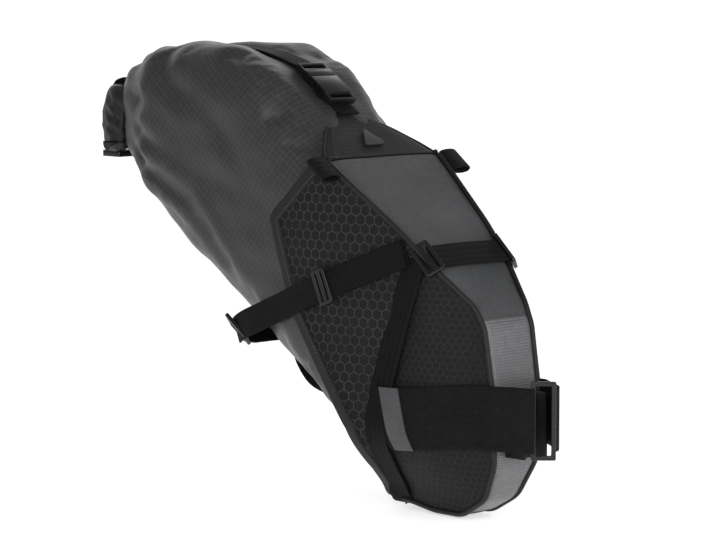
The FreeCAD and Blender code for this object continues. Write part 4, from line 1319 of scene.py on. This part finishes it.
# ---------------------------------------------------------------- webbing
@dataclass
class Harness:
    """Every narrow strap, with its sliders and keepers."""

    def side_path(self, first: float, last: float, lift: float, side: Side, count: int = 160) -> Array:
        """The side strap's middle line between two setbacks, lifted off the side of the bag.

        Args:
            first: Setback where it starts.
            last: Setback where it ends.
            lift: How far off the side it lies.
            side: Which side of the pack.
            count: How many points to return.

        Returns:
            (count, 3) points.
        """
        x = -np.linspace(first, last, count)
        z = 152 - (-x - 95) * 0.41
        away = profile_distance(np.stack([x, z], 1))
        swell = 1.7 * smoothstep(4, 40, away) * (1 - smoothstep(225, 262, -x))
        tuck = 11 * np.maximum(0, (-x - 286) / 32) ** 2
        return np.stack([x, side.value * (half_width(x, z) + lift + swell - tuck), z], 1)

    def build(self) -> None:
        """Builds the side straps, band, rail strap, belly straps and loops."""
        for side in Side:
            outward = np.array([0.0, side.value, 0.0])
            strap = ribbon(f"side_webbing_{side.word}", self.side_path(108, 317, 1.4, side), outward,
                           WEBBING, TAPE)
            dress(strap, "holster", "webbing", f"side_strap_{side.word}")
            tail = ribbon(f"side_webbing_tail_{side.word}", self.side_path(110, 224, 3.4, side), outward,
                          WEBBING, TAPE, skew=-3)
            dress(tail, "holster", "webbing", f"strap_tail_{side.word}")
            for part in ("panel_slider", "belly_slider"):
                piece = softened(f"{part}_{side.word}", f"{part}_body_{side.word}", 0.8)
                if part == "panel_slider":
                    shift(piece, (-2.4, -4.0 * side.value, -2.2))
                dress(piece, "holster", "buckle_plastic", f"{part}_{side.word}")
            keeper = softened(f"keeper_{side.word}", f"keeper_body_{side.word}", 0.8)
            dress(keeper, f"keeper_{side.word}_body", "buckle_plastic", f"keeper_{side.word}")
            self.loop(side)
        self.band()
        self.rail_strap()
        self.belly()

    def band(self) -> None:
        """The webbing band down one side seam, under the boot and up the other side."""
        seam = resample(np.array([(-100, 141), (-106, 120), (-119, 76), (-133, 26), (-140, -4), (-142, -42),
                                  (-145, -66)], float), 90)
        reach = half_width(seam[:, 0], seam[:, 1]) + 1.5 + 1.6 * smoothstep(4, 40, profile_distance(seam))
        right = np.stack([seam[:, 0], -reach, seam[:, 1]], 1)
        width = float(half_width(-147, -80))
        turn = np.linspace(0, math.pi / 2, 9)[1:]
        corner = np.stack([np.full(8, -147.0), -(width - 5) - 7.5 * np.cos(turn), -74 - 8.2 * np.sin(turn)], 1)
        half = np.vstack([right, corner, [[-147, -15, -82.6], [-147, -0.001, -82.8]]])
        full = np.vstack([half, half[::-1] * np.array([1, -1, 1])])
        path = resample(full, 420)
        inward = unit(path * np.array([0, -1, 0]))
        sole = smoothstep(64, 82, -path[:, 2])[:, None]
        outward = unit(-inward * (1 - sole) + sole * np.array([0, 0, -1.0]))
        band = ribbon("band_webbing", path, outward, WEBBING, TAPE)
        dress(band, "holster", "webbing", "load_band")

    def rail_strap(self) -> None:
        """The strap across the upper front panel, drawn flat between its two sliders."""
        low, high = cad_box("rail_strap")
        middle = (low + high) / 2
        y = np.linspace(-44, 44, 90)
        slope = math.atan(FRONT_SLOPE)
        normal = np.array([math.sin(slope), 0, math.cos(slope)])
        path = np.stack([np.full(90, middle[0]), y, np.full(90, middle[2])], 1)
        path += normal * (0.4 + 1.4 * np.cos(y / 44 * math.pi / 2))[:, None]
        strap = ribbon("rail_webbing", path, normal, WEBBING, TAPE)
        dress(strap, "holster", "webbing", "rail_strap")

    def belly(self) -> None:
        """The cross strap under the belly and the two slack bows of lengthwise webbing."""
        low, high = cad_box("belly_strap")
        middle = (low + high) / 2
        slope = math.atan(BELLY_SLOPE)
        down = np.array([-math.sin(slope), 0, -math.cos(slope)])
        y = np.linspace(-66, 66, 120)
        path = np.stack([np.full(120, middle[0]), y, np.full(120, middle[2])], 1)
        path -= down * (3.5 * smoothstep(50, 66, np.abs(y)))[:, None]
        dress(ribbon("belly_webbing", path, down, WEBBING, TAPE), "holster", "webbing", "belly_strap")

        def below(x: float, depth: float) -> Array:
            """A point under the belly line."""
            return np.array([-x, 0, BELLY_SLOPE * (x - 158) - 52]) + down * depth

        sag = ((160, 1.6), (178, 2.4), (192, 8), (207, 12.3), (222, 9), (236, 2.6),
               (240, 2.6), (254, 12), (270, 17), (287, 13), (302, 3.0), (312, 2.4))
        marks = [below(setback, depth) for setback, depth in sag]
        flat = smooth_path(np.array(marks)[:, [0, 2]], 200)
        path = np.stack([flat[:, 0], np.zeros(200), flat[:, 1]], 1)
        chain = ribbon("daisy_webbing", path, down, WEBBING, TAPE, across=np.array([0, 1.0, 0]))
        dress(chain, "holster", "webbing", "belly_daisy_chain")

    def loop(self, side: Side) -> None:
        """The loop of webbing that stands out of the shoulder seam.

        Args:
            side: Which side of the pack.
        """
        low, high = cad_box(f"webbing_loop_{side.word}")
        middle = (low + high) / 2
        slope = math.atan(SHOULDER_SLOPE)
        along = np.array([-math.cos(slope), 0, math.sin(slope)])
        up = np.array([math.sin(slope), 0, math.cos(slope)])
        turn = np.linspace(0.12, 2 * math.pi - 0.12, 90)
        y = np.cos(turn + math.pi)
        z = np.sin(turn + math.pi)
        outline = np.stack([y * 10.0, np.sign(z) * np.abs(z) ** 0.8 * 3.7], 1)
        points = middle + outline[:, :1] * np.array([0, side.value, 0]) + outline[:, 1:] * up
        tangent = unit(np.gradient(points, axis=0))
        normal = np.cross(along, tangent)
        piece = ribbon(f"loop_webbing_{side.word}", points, normal, WEBBING, TAPE, across=along)
        dress(piece, "holster", "webbing", f"webbing_loop_{side.word}")


# ---------------------------------------------------------------- seatpost clamp
@dataclass
class Clamp:
    """The wide strap that wraps the seatpost, its ring, pad and pull tab."""

    tall: float = 56.0

    def flank(self, first: float, last: float, lift: float, side: Side, count: int = 80) -> Array:
        """A line along one flank of the boot, seen from above, at the strap's middle height.

        Args:
            first: Setback where it starts.
            last: Setback where it ends.
            lift: How far off the flank it lies.
            side: Which side of the pack.
            count: How many points to return.

        Returns:
            (count, 3) points.
        """
        x = -np.linspace(first, last, count)
        y = half_width(x) + lift
        return np.stack([x, side.value * y, np.zeros(count)], 1)

    def upright(self, name: str, path: Array, thickness: float, skew: float = 0.0) -> bpy.types.Object:
        """A strap of the clamp's height along a level path.

        Args:
            name: The object's name.
            path: (n, 3) level line.
            thickness: Thickness of the strap.
            skew: How far its last end is slanted.

        Returns:
            The new object.
        """
        tangent = unit(np.gradient(path, axis=0))
        normal = np.cross(np.array([0, 0, 1.0]), tangent)
        return ribbon(name, path, normal, self.tall, thickness, skew, across=np.array([0, 0, 1.0]))

    def build(self) -> None:
        """Builds the clamp."""
        dress(softened("seatpost_pad", "seatpost_pad_body", 0.6), "holster", "grip_rubber", "seatpost_pad")
        ring = softened("strap_ring", "strap_ring_body", 1.0)
        self.conform(ring, Side.RIGHT)
        dress(ring, "holster", "buckle_plastic", "strap_ring")
        corner = half_width(-25)
        base = np.vstack([[RING_BAR + (-1.2, -2.8, 0)], [(-8, -23.5, 0)], self.flank(25, 105, 2.7, Side.RIGHT)])
        strap = self.upright("base_strap", smooth_path(resample(base, 40), 160), 1.6)
        self.conform(strap, Side.RIGHT)
        dress(strap, "holster", "wide_strap", "strap_base")
        closing = np.vstack([[RING_BAR + (3.4, -2.0, 0)], [(-6, -27.5, 0)],
                             self.flank(25, 132.5, 5.1, Side.RIGHT)])
        strap = self.upright("closing_strap_band", smooth_path(resample(closing, 44), 200), 2.0, skew=6.0)
        self.conform(strap, Side.RIGHT)
        dress(strap, "closing_strap_body", "wide_strap", "closing_strap")
        tab = self.upright("pull_tab_rubber", self.flank(107.5, 126.5, 6.9, Side.RIGHT, 40), 1.6)
        self.slant(tab)
        self.conform(tab, Side.RIGHT)
        dress(tab, "closing_strap_body", "tab_rubber", "pull_tab")
        arc = np.radians(np.linspace(-6, 59, 30))
        round_post = np.stack([np.cos(arc), np.sin(arc), np.zeros(30)], 1) * 14.6
        anchor = np.vstack([round_post, [(-25, corner + 2.8, 0)], self.flank(27, 84, 2.8, Side.LEFT)])
        strap = self.upright("ring_anchor_strap", resample(anchor, 200), TAPE)
        self.conform(strap, Side.LEFT)
        dress(strap, "holster", "wide_strap", "ring_anchor")

    def conform(self, strap: bpy.types.Object, side: Side) -> None:
        """Lets a strap lean in with the boot's side where it lies against it.

        Args:
            strap: The strap, whose mesh is changed.
            side: The side that it lies on.
        """
        points = read_points(strap.data)
        x, z = points[:, 0] / MM, points[:, 2] / MM
        lean = (half_width(x, z) - half_width(x, np.zeros(len(x)))) * smoothstep(26, 60, -x)
        points[:, 1] += side.value * lean * MM
        points[:, 2] += RISE * smoothstep(-125, -25, x) * MM
        write_points(strap.data, points)

    def slant(self, tab: bpy.types.Object) -> None:
        """Leans the pull tab so that its ends run with the strap's slanted end.

        Args:
            tab: The tab, whose mesh is changed.
        """
        points = read_points(tab.data)
        old = half_width(points[:, 0] / MM)
        points[:, 0] -= points[:, 2] / 0.028 * 0.0058
        points[:, 1] -= (half_width(points[:, 0] / MM) - old) * MM
        write_points(tab.data, points)


# ---------------------------------------------------------------- tail buckle and badge
@dataclass
class TailBuckle:
    """The side-release buckle on the flap, and the flap's badge."""

    def build(self) -> None:
        """Builds the buckle's halves, its webbing and the badge."""
        for node in ("buckle_socket", "buckle_plug", "buckle_prong_right", "buckle_prong_left"):
            edge = 0.5 if "prong" in node else 0.9
            dress(softened(node, node + "_body", edge), body_of(node), "buckle_plastic", node)
        low, high = cad_box("flap_webbing")
        ends = np.array([[high[0], 0, low[2] + 1.0], [low[0], 0, high[2] - 1.0]])
        strap = ribbon("flap_loop_webbing", resample(ends, 30), (0.58, 0, 0.81), WEBBING, 1.6,
                       across=np.array([0, 1.0, 0]))
        dress(strap, "holster", "webbing", "flap_webbing")
        dress(softened("flap_badge", "flap_badge_body", 0.7), "holster", "badge_rubber", "flap_badge")


# ---------------------------------------------------------------- studio
AIM = np.array([-229, 0, 121]) * MM  # the middle of the pack
CAMERA_WAY = np.array([0.7154, -0.6909, 0.1045])  # from the aim towards the camera
CAMERA_DISTANCE = 2.727
LENS = 151.7
LIGHTS = (  # name, place from the aim, size, power
    ("key", (0.95, -1.3, 0.45), 0.9, 13),
    ("fill", (1.5, 0.0, 0.35), 1.1, 10),
    ("rim", (-1.3, 1.3, 1.6), 1.2, 5),
)


def backdrop() -> None:
    """A pale floor that curves up into a wall, wide enough to stand behind the pack from every side."""
    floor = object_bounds()[0][2] / MM - 2.0
    front, back, bend, height, side = -3800, 6400, 700, 5600.0, 7000
    turn = np.linspace(0.1, math.pi / 2, 16)
    sweep = np.vstack([
        np.stack([np.linspace(front, back, 12), np.full(12, floor)], 1),
        np.stack([back + bend * np.sin(turn), floor + bend * (1 - np.cos(turn))], 1),
        np.array([[back + bend, floor + height]])])
    angle = math.radians(46)
    along = np.array([math.cos(angle), math.sin(angle), 0])
    away = np.array([-math.sin(angle), math.cos(angle), 0])
    up = np.array([0, 0, 1])
    places = np.linspace(-side, side, 8)
    grid = along * places[None, :, None] + away * sweep[:, None, :1] + up * sweep[:, None, 1:]
    paper = mesh_object("backdrop", grid.reshape(-1, 3), grid_faces(len(sweep), 8), None, 60)
    pale = bpy.data.materials.new("pale_paper")
    pale.use_nodes = True
    graph = Graph(pale.node_tree)
    shader = next(item for item in pale.node_tree.nodes if item.type == "BSDF_PRINCIPLED")
    shader.inputs["Roughness"].default_value = 0.85
    shader.inputs["Emission Color"].default_value = (1.0, 1.0, 1.0, 1.0)
    shader.inputs["Emission Strength"].default_value = 0.6
    cloud = graph.noise(graph.node("ShaderNodeTexCoord").outputs["Object"], 40.0)
    grain = graph.node("ShaderNodeMapRange", {0: cloud, 1: 0.3, 2: 0.7, 3: 0.83, 4: 0.86}).outputs[0]
    graph.tree.links.new(grain, shader.inputs["Base Color"])
    paper.data.materials.append(pale)
    paper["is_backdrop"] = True


def stand(name: str, data: bpy.types.ID, place: Array) -> bpy.types.Object:
    """Puts a lamp or camera at a place, turned towards the aim.

    Args:
        name: The object's name.
        data: Its lamp or camera data.
        place: Where it stands, in metres.

    Returns:
        The new object.
    """
    thing = bpy.data.objects.new(name, data)
    thing.location = place
    thing.rotation_euler = look(place, AIM)
    bpy.context.scene.collection.objects.link(thing)
    return thing


def studio() -> None:
    """A pale sweep of floor and wall, soft lights and the camera."""
    backdrop()
    for name, offset, size, power in LIGHTS:
        light = bpy.data.lights.new(name, "AREA")
        light.size = size
        light.energy = power
        stand(name, light, AIM + np.array(offset))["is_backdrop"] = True
    scene = bpy.context.scene
    scene.view_settings.view_transform = "Standard"
    scene.world = bpy.data.worlds.new("studio")
    scene.world.use_nodes = True
    sky = scene.world.node_tree.nodes["Background"]
    sky.inputs[0].default_value = (0.95, 0.97, 1.0, 1)
    sky.inputs[1].default_value = 0.33
    data = bpy.data.cameras.new("camera")
    data.lens = LENS
    data.sensor_width = 36
    scene.camera = stand("camera", data, AIM + CAMERA_WAY * CAMERA_DISTANCE)


def look(place: Array, target: Array) -> Euler:
    """The rotation of a lamp or camera at place that looks at the target."""
    return Vector(target - place).to_track_quat("-Z", "Y").to_euler()


def main() -> None:
    """Loads the frame, builds every assembly and sets the studio."""
    logging.basicConfig(level=logging.INFO, format="%(message)s")
    FRAME.update(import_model())
    for assembly in (Holster(), DryBag(), Harness(), Clamp(), TailBuckle()):
        assembly.build()
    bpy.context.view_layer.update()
    studio()


if __name__ == "__main__":
    main()
